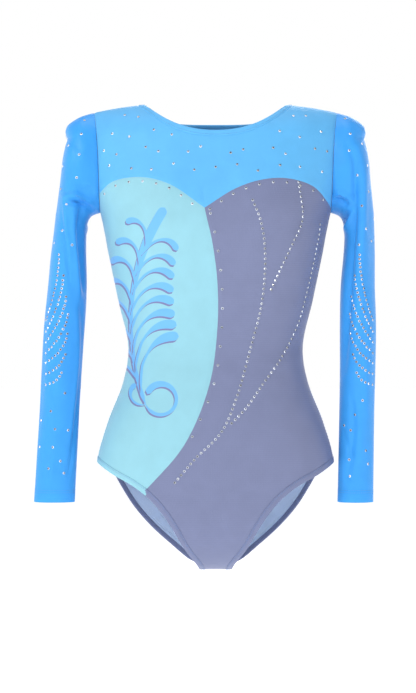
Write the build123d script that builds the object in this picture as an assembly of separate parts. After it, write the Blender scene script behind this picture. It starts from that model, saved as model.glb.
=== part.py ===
from build123d import *
import math
import os

# Long-sleeved gymnastics leotard in its worn shape. Millimetres, +Z up, front towards -Y.
# Z = 0 is the lowest point of the gusset, X = 0 the centre line, Y = 0 the side seams.

# ---- overall sizes ----
SHOULDER_Z = 652.0  # neck end of the shoulder seams
SHOULDER_DROP = 18.0  # how far the shoulder line falls by SHOULDER_HALF
SHOULDER_HALF = 186.0
WIDTH_SCALE = 1.0  # all body widths
DEPTH_SCALE = 1.0  # all body depths
FABRIC = 1.0  # knit panel thickness
SEAM_GAP = 0.2  # between two panels at a seam
BODY_GAP = 0.6  # between the bodice side and a moving sleeve

# height, half width, front depth, back depth of the form under the fabric's outer face
FORM = [
    (0.0, 62.0, 66.0, 66.0),
    (45.0, 118.0, 78.0, 92.0),
    (100.0, 156.0, 84.0, 108.0),
    (147.0, 165.5, 88.0, 114.0),
    (206.0, 150.5, 90.0, 106.0),
    (262.0, 129.0, 84.0, 84.0),
    (312.0, 122.0, 79.0, 72.0),
    (374.0, 135.5, 88.0, 78.0),
    (441.0, 149.5, 102.0, 92.0),
    (490.0, 159.0, 104.0, 99.0),
    (535.0, 174.0, 96.0, 102.0),
    (590.0, 184.0, 82.0, 94.0),
    (652.0, 186.0, 62.0, 70.0),
]
SECTION_FULLNESS = 0.2  # how much squarer than an ellipse a section is
CROTCH_ROUND = 78.0  # height over which the form closes under the crotch
SHOULDER_ROUND = 46.0  # height over which the form closes at the shoulders
BUST = (84.0, 500.0, 46.0, 15.0)  # x, z, spread, height of each swelling
SEAT = (72.0, 120.0, 52.0, 13.0)

# ---- neck ----
NECK_HALF = 98.0
NECK_FRONT_DROP = 41.0
NECK_BACK_DROP = 20.0
NECK_FRONT_POWER = 2.3
BINDING = 9.0  # width of the neck and leg bindings
BINDING_OUT = 0.7  # how far a binding stands out of the panels
BINDING_IN = 0.7
ELASTIC_INSET = 1.6  # from each edge of a binding
ELASTIC = 0.7  # elastic thickness
TUNNEL_CLEAR = 0.15  # round the elastic, in its tunnel

# ---- armhole, in front view on the +X side ----
ARMHOLE = [(161.3, 470.0), (161.3, 508.0), (161.9, 548.0), (163.2, 582.0), (165.6, 612.0), (170.0, 642.0)]
ARMHOLE_FOOT_Z = 470.0  # the side runs free of the armhole below this

# ---- leg lines, in front view on the +X side, from the hip to the gusset ----
GUSSET_HALF = 22.0
LEG_FRONT = [(165.0, 149.0), (143.0, 135.0), (113.0, 119.0), (86.0, 97.0), (62.0, 65.0), (43.0, 31.0)]
LEG_BACK = [(165.0, 149.0), (151.0, 138.0), (138.0, 115.0), (119.0, 84.0), (92.0, 53.0), (60.0, 26.0), (36.0, 8.0)]

# ---- panel seams in front view ----
HEART_LOW = (-15.0, 500.0)
HEART_RIGHT = [(-64.0, 533.0), (-104.0, 543.0), (-142.0, 538.0), (-158.0, 526.0)]
HEART_LEFT = [(26.0, 526.0), (62.0, 538.5), (98.0, 541.0), (134.0, 531.0), (155.0, 511.0)]
CENTRE_SEAM = [(-5.0, 455.0), (2.2, 400.0), (2.2, 335.0), (-9.0, 258.0), (-43.0, 177.0), (-99.0, 111.0)]
BACK_YOKE_Z = 520.0  # centre of the back seam between yoke and body panel
BACK_YOKE_RISE = 16.0

# ---- lining and trims ----
LINING_TOP_Z = 92.0
LINING_GAP = 0.25
SEAM_TAPE = 6.0  # width of an overlocked seam inside
SEAM_TAPE_T = 0.8
LABEL = (46.0, 22.0)
LABEL_T = 0.4

# ---- sleeves, in front view on the +X side ----
# inner end, outer end and half depth of each ring, from the armhole to the cuff
SLEEVE = [
    ((150.0, 497.0), (152.0, 642.0), 46.0),
    ((161.5, 497.5), (171.0, 638.0), 48.5),
    ((168.5, 496.0), (192.0, 631.0), 50.0),
    ((174.5, 492.5), (211.0, 615.0), 49.0),
    ((178.5, 485.0), (220.5, 583.0), 47.0),
    ((180.2, 474.0), (224.3, 540.0), 44.5),
    ((180.4, 458.0), (226.3, 496.0), 42.5),
    ((179.2, 436.0), (228.8, 444.0), 40.5),
    ((176.2, 394.0), (231.0, 394.0), 37.5),
    ((176.0, 340.0), (233.5, 340.0), 33.5),
    ((177.0, 280.0), (233.5, 280.0), 30.0),
    ((177.0, 220.0), (233.0, 220.0), 26.5),
    ((176.8, 160.0), (233.2, 160.0), 23.0),
    ((176.5, 94.0), (233.5, 94.0), 20.0),
]
SPLAY_FROM_Z = 480.0
SPLAY = {"right": 3.2, "left": -0.9}  # degrees outward below the armpit
SLEEVE_START_Z = 424.0  # the swinging part starts here
CUFF_TOP_Z = 118.0
CUFF_OUT = 0.6
SIDES = {"right": -1, "left": 1}

# ---- crystals ----
STONE = 3.2
STONE_T = 1.3
STONE_LIFT = 0.15
ROW_PITCH = 7.5
SEAM_PITCH = 26.0
HEART_PITCH = 19.0
ROW_INSET = 6.0

FAR = 400.0


def curve_through(stations, at, column):
    """Monotone-ish cubic through a column of a table, by height."""
    n = len(stations)
    k = 0
    while k < n - 2 and at > stations[k + 1][0]:
        k += 1
    x0 = stations[k][0]
    x1 = stations[k + 1][0]
    y0 = stations[k][column]
    y1 = stations[k + 1][column]

    def slope(i):
        if i == 0:
            return (stations[1][column] - stations[0][column]) / (stations[1][0] - stations[0][0])
        if i == n - 1:
            return (stations[-1][column] - stations[-2][column]) / (stations[-1][0] - stations[-2][0])
        return (stations[i + 1][column] - stations[i - 1][column]) / (stations[i + 1][0] - stations[i - 1][0])

    h = x1 - x0
    t = min(1.0, max(0.0, (at - x0) / h))
    a = (1 + 2 * t) * (1 - t) ** 2 * y0 + t * (1 - t) ** 2 * h * slope(k)
    b = t * t * (3 - 2 * t) * y1 + t * t * (t - 1) * h * slope(k + 1)
    return a + b


def half_width(z):
    return curve_through(FORM, z, 1) * WIDTH_SCALE


def shoulder_line(x):
    return SHOULDER_Z - SHOULDER_DROP * abs(x / (SHOULDER_HALF * WIDTH_SCALE)) ** 3


def depth(z, front):
    return curve_through(FORM, z, 2 if front else 3) * DEPTH_SCALE


def swell(x, z, spec):
    total = 0.0
    for side in (-1, 1):
        far = ((x - side * spec[0] * WIDTH_SCALE) ** 2 + (z - spec[1]) ** 2) / (2 * spec[2] ** 2)
        total += spec[3] * math.exp(-far)
    return total


def form_point(phi, level, front):
    """A point of the form: phi is -90..90 degrees across, level 0..1 from the crotch to the shoulders."""
    z = SHOULDER_Z * (1 - math.cos(math.pi * level)) / 2
    low = min(1.0, z / CROTCH_ROUND)
    high = min(1.0, (SHOULDER_Z - z) / SHOULDER_ROUND)
    close_low = math.sqrt(1 - (1 - low) ** 2)
    close_high = math.sqrt(1 - (1 - high) ** 2)
    if level < 0:
        close_low = -close_low
    if level > 1:
        close_high = -close_high
    x = half_width(z) * math.sin(phi)
    ease = max(0.0, (z / SHOULDER_Z - 0.78) / 0.22)
    ease = ease * ease * (3 - 2 * ease)
    drop = shoulder_line(x) - SHOULDER_Z
    across = math.cos(phi) * (1 + SECTION_FULLNESS * math.sin(phi) ** 2)
    full = depth(z, front)
    bump = swell(x, z, BUST if front else SEAT)
    y = (full + bump) * across * close_low * close_high
    return (x, -y if front else y, z + drop * ease)


def minus(a, b):
    return (a[0] - b[0], a[1] - b[1], a[2] - b[2])


def cross(a, b):
    return (a[1] * b[2] - a[2] * b[1], a[2] * b[0] - a[0] * b[2], a[0] * b[1] - a[1] * b[0])


def unit(a):
    size = math.sqrt(a[0] ** 2 + a[1] ** 2 + a[2] ** 2)
    return (a[0] / size, a[1] / size, a[2] / size) if size > 1e-12 else (0.0, 0.0, 0.0)


def form_offset(phi, level, front, off):
    """The form's point moved outward by off along the normal."""
    here = form_point(phi, level, front)
    if off == 0:
        return here
    edge_u = abs(abs(phi) - math.pi / 2) < 1e-6
    edge_v = level < 1e-6 or level > 1 - 1e-6
    if edge_u and edge_v:
        n = unit((math.copysign(1.0, phi), 0.0, 1.0 if level > 0.5 else -1.0))
    else:
        step = 2e-3
        along = minus(form_point(phi + step, level, front), form_point(phi - step, level, front))
        up = minus(form_point(phi, level + step / 4, front), form_point(phi, level - step / 4, front))
        n = unit(cross(along, up))
        middle = -1.0 if front else 1.0
        if edge_v:
            flip = (n[2] > 0) != (level > 0.5)
        elif edge_u:
            flip = (n[0] > 0) != (phi > 0)
        else:
            flip = (n[1] * middle < 0) if abs(n[1]) > 0.05 else (n[0] * here[0] < 0)
        if flip:
            n = (-n[0], -n[1], -n[2])
        if edge_u or edge_v:
            n = unit((n[0], 0.0, n[2]))
    return (here[0] + n[0] * off, here[1] + n[1] * off, here[2] + n[2] * off)


COLUMNS = 28
ROWS = 40


def form_face(front, off):
    grid = []
    for i in range(ROWS + 1):
        row = []
        for j in range(COLUMNS + 1):
            phi = math.pi * (j / COLUMNS - 0.5)
            row.append(form_offset(phi, i / ROWS, front, off))
        grid.append(row)
    return Face.make_surface_from_array_of_points(grid, tol=0.02, smoothing=(1, 1, 1), max_deg=6)


def matched_edges(face):
    """The four edges, as bottom, right, top, left."""
    edges = face.edges()
    bottom = min(edges, key=lambda e: e.center(CenterOf.BOUNDING_BOX).Z)
    top = max(edges, key=lambda e: e.center(CenterOf.BOUNDING_BOX).Z)
    left = min(edges, key=lambda e: e.center(CenterOf.BOUNDING_BOX).X)
    right = max(edges, key=lambda e: e.center(CenterOf.BOUNDING_BOX).X)
    return bottom, right, top, left


SKINS = {}


def skin(front, inner, outer):
    """The closed shell of one half between two offsets."""
    key = (front, inner, outer)
    if key in SKINS:
        return SKINS[key]
    a = form_face(front, inner)
    b = form_face(front, outer)
    walls = []
    for e1, e2 in zip(matched_edges(a), matched_edges(b)):
        walls.append(Face.make_surface_from_curves(e1, e2))
    solid = Solid(Shell([a, b] + walls))
    if solid.volume < 0:
        solid = Solid(solid.wrapped.Reversed())
    SKINS[key] = solid
    return solid


SIDE_GAP = SEAM_GAP / 2
REACH = 260.0


def flat_face(curves, closing):
    """A face in the X-Z plane from smooth curves joined end to end and straight closing points."""
    edges = []
    last = None
    first = None
    for points in curves:
        spots = [Vector(x, 0, z) for x, z in points]
        edges.append(Edge.make_spline(spots))
        first = first or spots[0]
        last = spots[-1]
    for x, z in closing:
        spot = Vector(x, 0, z)
        edges.append(Edge.make_line(last, spot))
        last = spot
    edges.append(Edge.make_line(last, first))
    return Face(Wire(edges))


def beside(points, distance):
    """The same curve moved sideways, to its left."""
    out = []
    for i, (x, z) in enumerate(points):
        before = points[max(0, i - 1)]
        after = points[min(len(points) - 1, i + 1)]
        along = (after[0] - before[0], after[1] - before[1])
        size = math.hypot(*along)
        out.append((x - along[1] / size * distance, z + along[0] / size * distance))
    return out


def mirrored(points):
    return [(-x, z) for x, z in points]


def piece(front, inner, outer, field):
    """The solids of one half, between two offsets, under a front-view field."""
    way = -1 if front else 1
    out = []
    for face in field.faces():
        start = face.moved(Location((0, way * SIDE_GAP, 0)))
        cut = Solid.extrude(start, Vector(0, way * REACH, 0))
        out += solids_of(skin(front, inner, outer) & cut)
    return out


def solids_of(shape):
    return list(shape.solids()) if shape is not None else []


def neck_curve(front, inset):
    drop = NECK_FRONT_DROP if front else NECK_BACK_DROP
    power = NECK_FRONT_POWER if front else NECK_FRONT_POWER * NECK_FRONT_DROP / NECK_BACK_DROP
    top = shoulder_line(NECK_HALF)
    points = []
    for i in range(-14, 15):
        share = i / 12
        points.append((NECK_HALF * share, top - drop + drop * abs(share) ** power))
    return beside(points, -inset)


def neck_hole(front, inset):
    curve = neck_curve(front, inset)
    high = SHOULDER_Z + 90
    return flat_face([curve], [(curve[-1][0], high), (curve[0][0], high)])


def leg_curve(front):
    table = LEG_FRONT if front else LEG_BACK
    first, second = table[0], table[1]
    slope = (first[1] - second[1]) / (first[0] - second[0])
    start = (first[0] + 40, first[1] + 40 * slope)
    foot = [(GUSSET_HALF + 1.5, 2.0), (GUSSET_HALF, -14.0), (GUSSET_HALF, -40.0)]
    return [start] + table + foot


def leg_hole(front, inset, side):
    curve = beside(leg_curve(front), -inset)
    if side < 0:
        curve = mirrored(curve)
    far = side * REACH
    return flat_face([curve], [(far, -40.0), (far, curve[0][1])])


def armhole_out(gap, side):
    curve = [(x + gap, z) for x, z in ARMHOLE]
    if side < 0:
        curve = mirrored(curve)
    far = side * FAR
    high = SHOULDER_Z + 90
    return flat_face([curve], [(curve[-1][0], high), (far, high), (far, ARMHOLE_FOOT_Z)])


def body_field(front, neck_inset, leg_inset):
    """The front-view field of the bodice inside the openings."""
    low, high = -40.0, SHOULDER_Z + 60
    field = flat_face([[(-REACH, low), (0, low), (REACH, low)]], [(REACH, high), (-REACH, high)])
    field = field - neck_hole(front, neck_inset)
    for side in (-1, 1):
        field = field - leg_hole(front, leg_inset, side)
        field = field - armhole_out(0, side)
    return field


def heart_below():
    right = [(-220.0, 470.0), (-178.0, 505.0)] + HEART_RIGHT[::-1] + [HEART_LOW]
    left = [HEART_LOW] + HEART_LEFT + [(172.0, 488.0), (220.0, 430.0)]
    return flat_face([right, left], [(REACH + 20, 430.0), (REACH + 20, -60.0), (-REACH - 20, -60.0), (-REACH - 20, 470.0)])


def heart_above():
    right = [(-220.0, 470.0), (-178.0, 505.0)] + HEART_RIGHT[::-1] + [HEART_LOW]
    left = [HEART_LOW] + HEART_LEFT + [(172.0, 488.0), (220.0, 430.0)]
    high = SHOULDER_Z + 90
    return flat_face([right, left], [(REACH + 20, 430.0), (REACH + 20, high), (-REACH - 20, high), (-REACH - 20, 470.0)])


def centre_curve():
    return [(HEART_LOW[0] - 6, HEART_LOW[1] + 90), (HEART_LOW[0] - 3, HEART_LOW[1] + 30), HEART_LOW] + CENTRE_SEAM + [(-160.0, 40.0)]


def centre_side(side):
    far = side * (REACH + 30)
    curve = centre_curve()
    closing = [(far, 40.0), (far, curve[0][1])]
    if side > 0:
        closing = [(-160.0, -60.0), (far, -60.0), (far, curve[0][1])]
    return flat_face([curve], closing)


def back_seam_curve():
    return [(x, BACK_YOKE_Z - BACK_YOKE_RISE * math.cos(math.pi * x / 340)) for x in range(-240, 241, 60)]


def back_half(above):
    z = SHOULDER_Z + 90 if above else -60.0
    curve = back_seam_curve()
    return flat_face([curve], [(240.0, z), (-240.0, z)])


def shifted(face, dx, dz):
    return face.moved(Location((dx, 0, dz)))


def joined(front_solids, back_solids):
    """Front and back lengths made one across the side seam plane."""
    bridges = []
    for solid in front_solids:
        for face in solid.faces():
            if abs(face.center().Y + SIDE_GAP) < 1e-3:
                bridges.append(Solid.extrude(face, Vector(0, 2 * SIDE_GAP, 0)))
    whole = front_solids[0].fuse(*front_solids[1:], *bridges, *back_solids)
    return solids_of(whole)


def binding_band(hole, start, end):
    return lambda front: hole(front, end) - hole(front, start)


def binding(hole):
    """A folded binding with the elastic's tunnel in it, and the elastic."""
    inner = -FABRIC - BINDING_IN
    middle = (inner + BINDING_OUT) / 2
    half = ELASTIC / 2
    clear = half + TUNNEL_CLEAR
    start = ELASTIC_INSET
    wide = ELASTIC_INSET - TUNNEL_CLEAR
    bands = []
    strips = []
    for front in (True, False):
        whole = hole(front, BINDING) - hole(front, 0)
        tunnel = hole(front, BINDING - wide) - hole(front, wide)
        tape = hole(front, BINDING - start) - hole(front, start)
        hollow = piece(front, middle - clear, middle + clear, tunnel)
        band = piece(front, inner, BINDING_OUT, whole)
        bands += [s for solid in band for s in solids_of(solid.cut(*hollow))]
        strips += piece(front, middle - half, middle + half, tape)
    return bands, strips


def strip(points, half):
    """A flat band along a curve in front view."""
    one = beside(points, half)
    two = beside(points, -half)[::-1]
    edges = [Edge.make_spline([Vector(x, 0, z) for x, z in one])]
    edges.append(Edge.make_line(Vector(one[-1][0], 0, one[-1][1]), Vector(two[0][0], 0, two[0][1])))
    edges.append(Edge.make_spline([Vector(x, 0, z) for x, z in two]))
    edges.append(Edge.make_line(Vector(two[-1][0], 0, two[-1][1]), Vector(one[0][0], 0, one[0][1])))
    return Face(Wire(edges))


def plate(x0, x1, z0, z1):
    low = [(x0, z0), ((x0 + x1) / 2, z0), (x1, z0)]
    return flat_face([low], [(x1, z1), (x0, z1)])


TAPE_OUTER = -FABRIC - 0.2
TAPE_INNER = TAPE_OUTER - SEAM_TAPE_T


def edge_tape(face):
    """An overlocked seam lying on the back half, next to the side seam plane."""
    box = Solid.make_box(2 * FAR, SEAM_TAPE, 3 * FAR, Plane((-FAR, 0.3, -FAR / 2)))
    out = []
    for solid in piece(False, TAPE_INNER, TAPE_OUTER, face):
        out += solids_of(solid & box)
    return out


def smooth(values, at):
    """Catmull-Rom through a list, at a real index."""
    k = min(len(values) - 2, max(0, int(at)))
    t = at - k
    p1, p2 = values[k], values[k + 1]
    p0 = values[k - 1] if k > 0 else 2 * p1 - p2
    p3 = values[k + 2] if k + 2 < len(values) else 2 * p2 - p1
    return p1 + 0.5 * t * (p2 - p0 + t * (2 * p0 - 5 * p1 + 4 * p2 - p3 + t * (3 * (p1 - p2) + p3 - p0)))


def sleeve_point(at, turn, side, off=0.0):
    """A point round the sleeve: at counts rings from the armhole, turn 0 is the outer edge, 90 the front."""
    inner = (smooth([r[0][0] for r in SLEEVE], at), smooth([r[0][1] for r in SLEEVE], at))
    outer = (smooth([r[1][0] for r in SLEEVE], at), smooth([r[1][1] for r in SLEEVE], at))
    deep = smooth([r[2] for r in SLEEVE], at)
    half = (math.dist(inner, outer)) / 2
    ease = (half + off) / half / 2
    angle = math.radians(turn)
    x = (inner[0] + outer[0]) / 2 + (outer[0] - inner[0]) * ease * math.cos(angle)
    z = (inner[1] + outer[1]) / 2 + (outer[1] - inner[1]) * ease * math.cos(angle)
    y = -(deep + off) * math.sin(angle)
    lean = math.tan(math.radians(SPLAY[side]))
    fall = max(0.0, SPLAY_FROM_Z - z)
    x += lean * (fall - 20 * (1 - math.exp(-fall / 20)))
    return Vector(SIDES[side] * x, y, z)


SLEEVE_WRAP = 5.0  # degrees that each half runs past the fold before it is trimmed
SLEEVE_COLUMNS = 18
SLEEVE_ROWS = 26


def sleeve_half(side, front, off):
    start = (0.0 if front else 180.0) - SLEEVE_WRAP
    sweep = 180.0 + 2 * SLEEVE_WRAP
    grid = []
    for i in range(SLEEVE_ROWS + 1):
        at = (len(SLEEVE) - 1) * i / SLEEVE_ROWS
        row = [tuple(sleeve_point(at, start + sweep * k / SLEEVE_COLUMNS, side, off)) for k in range(SLEEVE_COLUMNS + 1)]
        grid.append(row)
    return Face.make_surface_from_array_of_points(grid, tol=0.02, smoothing=(1, 1, 1), max_deg=6)


def sleeve_edges(face):
    """The two ring edges from the cuff up, then the two long edges from the body out."""
    middle = [(e.center(CenterOf.BOUNDING_BOX), e) for e in face.edges()]
    middle.sort(key=lambda pair: abs(pair[0].Y))
    long_edges = sorted(middle[:2], key=lambda pair: abs(pair[0].X))
    rings = sorted(middle[2:], key=lambda pair: pair[0].Z)
    return [e for _, e in rings + long_edges]


def sleeve_tube(side, inner, outer, fields):
    """The sleeve's shell between two offsets, cut to each of the given front-view fields."""
    cut = [[] for _ in fields]
    for front in (True, False):
        a = sleeve_half(side, front, inner)
        b = sleeve_half(side, front, outer)
        walls = [Face.make_surface_from_curves(x, y) for x, y in zip(sleeve_edges(a), sleeve_edges(b))]
        solid = Solid(Shell([a, b] + walls))
        if solid.volume < 0:
            solid = Solid(solid.wrapped.Reversed())
        way = Vector(0, -REACH if front else REACH, 0)
        for k, field in enumerate(fields):
            for face in field.faces():
                cut[k] += solids_of(solid & Solid.extrude(face, way))
    return [solids_of(parts[0].fuse(*parts[1:])) for parts in cut]


def height_slab(low, high):
    return Solid.make_box(2 * FAR, 2 * FAR, high - low, Plane((-FAR, -FAR, low)))


def form_at(x, z, front):
    """The angle and level of the form under a front-view point."""
    base = z
    for _ in range(12):
        ease = max(0.0, (base / SHOULDER_Z - 0.78) / 0.22)
        ease = ease * ease * (3 - 2 * ease)
        base = z - (shoulder_line(x) - SHOULDER_Z) * ease
    base = min(SHOULDER_Z, max(0.0, base))
    phi = math.asin(max(-1.0, min(1.0, x / half_width(base))))
    return phi, math.acos(1 - 2 * base / SHOULDER_Z) / math.pi


def stone(spot, away):
    way = Vector(*away).normalized()
    plane = Plane(origin=Vector(*spot), z_dir=way)
    return Solid.make_cone(STONE / 2, STONE * 0.28, STONE_T, plane)


def body_stone(x, z):
    phi, level = form_at(x, z, True)
    low = form_offset(phi, level, True, STONE_LIFT)
    high = form_offset(phi, level, True, STONE_LIFT + 1.0)
    return stone(low, minus(high, low))


def sleeve_stone(at, turn, side):
    low = sleeve_point(at, turn, side, STONE_LIFT)
    step = 0.02
    along = sleeve_point(at + step, turn, side, STONE_LIFT) - sleeve_point(at - step, turn, side, STONE_LIFT)
    around = sleeve_point(at, turn + 2, side, STONE_LIFT) - sleeve_point(at, turn - 2, side, STONE_LIFT)
    away = along.cross(around).normalized()
    middle = (sleeve_point(at, 0, side) + sleeve_point(at, 180, side)) * 0.5
    if away.dot(low - middle) < 0:
        away = away * -1
    return stone(tuple(low), tuple(away))


def spaced(points, pitch, start=0.0):
    """Even steps along a smooth curve through front-view points."""
    fine = []
    for i in range(40 * (len(points) - 1) + 1):
        at = i / 40
        fine.append((smooth([p[0] for p in points], at), smooth([p[1] for p in points], at)))
    out = []
    run = -start
    for a, b in zip(fine, fine[1:]):
        gap = math.dist(a, b)
        while run <= gap:
            if run >= 0:
                t = run / gap if gap else 0
                out.append((a[0] + (b[0] - a[0]) * t, a[1] + (b[1] - a[1]) * t))
            run += pitch
        run -= gap
    return out


ROW_A = [(50.0, 510.0), (60.0, 485.0), (66.0, 455.0), (67.0, 412.0), (62.0, 365.0), (48.0, 310.0), (28.0, 240.0), (8.0, 195.0), (-28.0, 158.0), (-57.0, 124.0)]
ROW_B = [(113.0, 536.0), (118.5, 485.0), (105.0, 452.0), (90.0, 420.0), (74.0, 385.0)]
ROW_C = [(144.0, 480.0), (137.0, 435.0), (126.0, 386.0), (114.0, 343.0), (91.0, 297.0), (66.0, 262.0), (42.0, 228.0), (20.0, 205.0)]


def yoke_spots():
    """A loose scatter over the yoke, on a staggered grid with a fixed wobble."""
    out = []
    for row in range(5):
        for col in range(-6, 7):
            x = 29.0 * col + (14.5 if row % 2 else 0.0) + 6.0 * math.sin(3.1 * col + 1.7 * row)
            z = 556.0 + 24.0 * row + 5.0 * math.sin(2.3 * col + 4.1 * row)
            edge = shoulder_line(x) - 9
            neck = neck_curve(True, 0)
            low = min(neck, key=lambda p: abs(p[0] - x))[1] - BINDING - 5
            limit = low if abs(x) < NECK_HALF + 14 else edge
            if abs(x) < 154 and z < limit:
                out.append((x, z))
    return out


def heart_spots():
    right = [(-153.0, 522.0), (-140.0, 531.0), (-104.0, 537.0), (-64.0, 527.0), (-22.0, 498.0)]
    left = [(-8.0, 498.0), (26.0, 520.0), (62.0, 532.5), (98.0, 535.0), (134.0, 525.0), (150.0, 512.0)]
    return spaced(right, HEART_PITCH) + spaced(left, HEART_PITCH)


def centre_spots():
    return spaced([(x + ROW_INSET, z) for x, z in [HEART_LOW] + CENTRE_SEAM[:-1]], SEAM_PITCH, 8.0)


def fern_spots(side):
    """Curling rows of stones on the outer side of the forearm, as ring position and turn."""
    out = []
    for k, (root, reach, rise) in enumerate([(10.6, 105, 1.5), (10.2, 80, 1.8), (9.8, 95, 1.4), (9.3, 70, 1.6), (8.8, 60, 1.2)]):
        for i in range(11):
            t = i / 10
            at = root - rise * math.sin(t * math.pi * 0.62)
            out.append((at, 8 + 4 * k % 9 + reach * t))
    for i in range(24):
        out.append((8.0 + 0.125 * i, 2 + 9 * math.sin(0.5 * i)))
    kept = []
    for spot in out:
        here = sleeve_point(spot[0], spot[1], side)
        if all((sleeve_point(a, b, side) - here).length > STONE * 1.5 for a, b in kept):
            kept.append(spot)
    return kept


def sleeve_scatter(low, high):
    out = []
    for row in range(12):
        at = 1.8 + 0.62 * row
        for col in range(4):
            turn = 18 + 38 * col + (19 if row % 2 else 0) + 7 * math.sin(2.7 * row + 1.9 * col)
            if low < at < high:
                out.append((at, turn))
    return out


NODES = {}


def add(name, shapes):
    NODES[name] = [s for s in shapes if s is not None]


def build_bodice():
    front_field = body_field(True, BINDING + SEAM_GAP, BINDING + SEAM_GAP)
    back_field = body_field(False, BINDING + SEAM_GAP, BINDING + SEAM_GAP)
    below = shifted(heart_below(), 0, -SIDE_GAP)
    above = shifted(heart_above(), 0, SIDE_GAP)
    lower = front_field & below
    aqua = lower & shifted(centre_side(-1), -SIDE_GAP, 0)
    grey = lower & shifted(centre_side(1), SIDE_GAP, 0)
    add("front_yoke", piece(True, -FABRIC, 0, front_field & above))
    add("front_right_panel", piece(True, -FABRIC, 0, aqua))
    add("front_left_panel", piece(True, -FABRIC, 0, grey))
    add("back_yoke", piece(False, -FABRIC, 0, back_field & shifted(back_half(True), 0, SIDE_GAP)))
    add("back_body_panel", piece(False, -FABRIC, 0, back_field & shifted(back_half(False), 0, -SIDE_GAP)))


def build_bindings():
    bodies, elastic = binding(neck_hole)
    add("neck_binding", bodies)
    add("neck_elastic", elastic)
    for side in SIDES:
        hole = lambda front, inset: leg_hole(front, inset, SIDES[side])
        bodies, elastic = binding(hole)
        add(side + "_leg_binding", bodies)
        add(side + "_leg_elastic", elastic)


def build_inside():
    inner = TAPE_OUTER - 0.8 - LINING_GAP
    field_front = body_field(True, 0, BINDING + 1.2) & plate(-REACH / 2, REACH / 2, -30, LINING_TOP_Z)
    field_back = body_field(False, 0, BINDING + 1.2) & plate(-REACH / 2, REACH / 2, -30, LINING_TOP_Z * 0.75)
    front_part = piece(True, inner, inner + 0.8, field_front)
    back_part = piece(False, inner, inner + 0.8, field_back)
    add("gusset_lining", joined(front_part, back_part))
    for side, way in SIDES.items():
        side_face = plate(*sorted((way * 100.0, way * 230.0)), 166.0, 486.0)
        add(side + "_side_seam", edge_tape(side_face))
        top_face = plate(*sorted((way * (NECK_HALF + 17), way * 156.0)), 560.0, 700.0)
        add(side + "_shoulder_seam", edge_tape(top_face))
        curve = [(x, z) for x, z in ARMHOLE[1:]]
        if way < 0:
            curve = mirrored(curve)
        far = [(curve[-1][0], 700.0), (curve[-1][0] - way * 5.5, 700.0), (curve[0][0] - way * 5.5, curve[0][1])]
        face = flat_face([curve], far)
        tape = []
        for front in (True, False):
            tape += piece(front, TAPE_INNER, TAPE_OUTER, face)
        add(side + "_armhole_seam", tape)
    heart_right = [(-150.0, 533.0)] + HEART_RIGHT[2::-1] + [(-40.0, 519.5), (-19.0, 503.0)]
    heart_left = [(-9.0, 504.0)] + HEART_LEFT[:-1] + [(147.0, 519.5)]
    tape = piece(True, TAPE_INNER, TAPE_OUTER, strip(heart_right, 2.5))
    tape += piece(True, TAPE_INNER, TAPE_OUTER, strip(heart_left, 2.5))
    add("sweetheart_seam", tape)
    centre = [(-12.5, 490.0)] + CENTRE_SEAM[:-1] + [(-82.0, 128.5)]
    add("centre_front_seam", piece(True, TAPE_INNER, TAPE_OUTER, strip(centre, 2.5)))
    top = shoulder_line(NECK_HALF) - NECK_BACK_DROP - BINDING - 3
    face = plate(-LABEL[0] / 2, LABEL[0] / 2, top - LABEL[1], top)
    add("neck_label", piece(False, TAPE_OUTER - LABEL_T, TAPE_OUTER, face))


def build_sleeves():
    for side, way in SIDES.items():
        cap_top = SHOULDER_Z + 60
        reach = sorted((way * 100.0, way * FAR))
        cap_field = armhole_out(SEAM_GAP, way) & plate(*reach, SLEEVE_START_Z + BODY_GAP, cap_top)
        low_cap = plate(*reach, SLEEVE_START_Z + BODY_GAP, ARMHOLE_FOOT_Z)
        arm_field = plate(*reach, CUFF_TOP_Z + SEAM_GAP, SLEEVE_START_Z)
        both = cap_field.fuse(low_cap)
        cap, arm = sleeve_tube(side, -FABRIC, 0, [both, arm_field])
        cuff = sleeve_tube(side, -FABRIC - CUFF_OUT, CUFF_OUT, [plate(*reach, 0, CUFF_TOP_Z)])[0]
        add(side + "_sleeve_cap", cap)
        add(side + "_sleeve", arm)
        add(side + "_cuff_hem", cuff)


def build_stones():
    add("yoke_crystals", [body_stone(x, z) for x, z in yoke_spots()])
    add("sweetheart_crystals", [body_stone(x, z) for x, z in heart_spots()])
    add("centre_seam_crystals", [body_stone(x, z) for x, z in centre_spots()])
    rows = spaced(ROW_A, ROW_PITCH) + spaced(ROW_B, ROW_PITCH) + spaced(ROW_C, ROW_PITCH)
    add("panel_row_crystals", [body_stone(x, z) for x, z in rows])
    for side in SIDES:
        add(side + "_cap_crystals", [sleeve_stone(a, t, side) for a, t in sleeve_scatter(1.9, 6.2)])
        low = [(a, t) for a, t in sleeve_scatter(7.5, 8.2)] + fern_spots(side)
        add(side + "_sleeve_crystals", [sleeve_stone(a, t, side) for a, t in low])


def main():
    build_bodice()
    build_bindings()
    build_inside()
    build_sleeves()
    build_stones()
    os.makedirs("parts", exist_ok=True)
    for name, shapes in NODES.items():
        whole = shapes[0] if len(shapes) == 1 else Compound(children=shapes)
        whole.label = name
        export_step(whole, "parts/" + name + ".step")
        print(name, len(shapes), "solids", round(sum(s.volume for s in shapes), 1), "mm3")


if __name__ == "__main__":
    main()
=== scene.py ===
import math

import bpy
import numpy as np
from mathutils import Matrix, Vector
from mathutils.geometry import delaunay_2d_cdt


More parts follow.
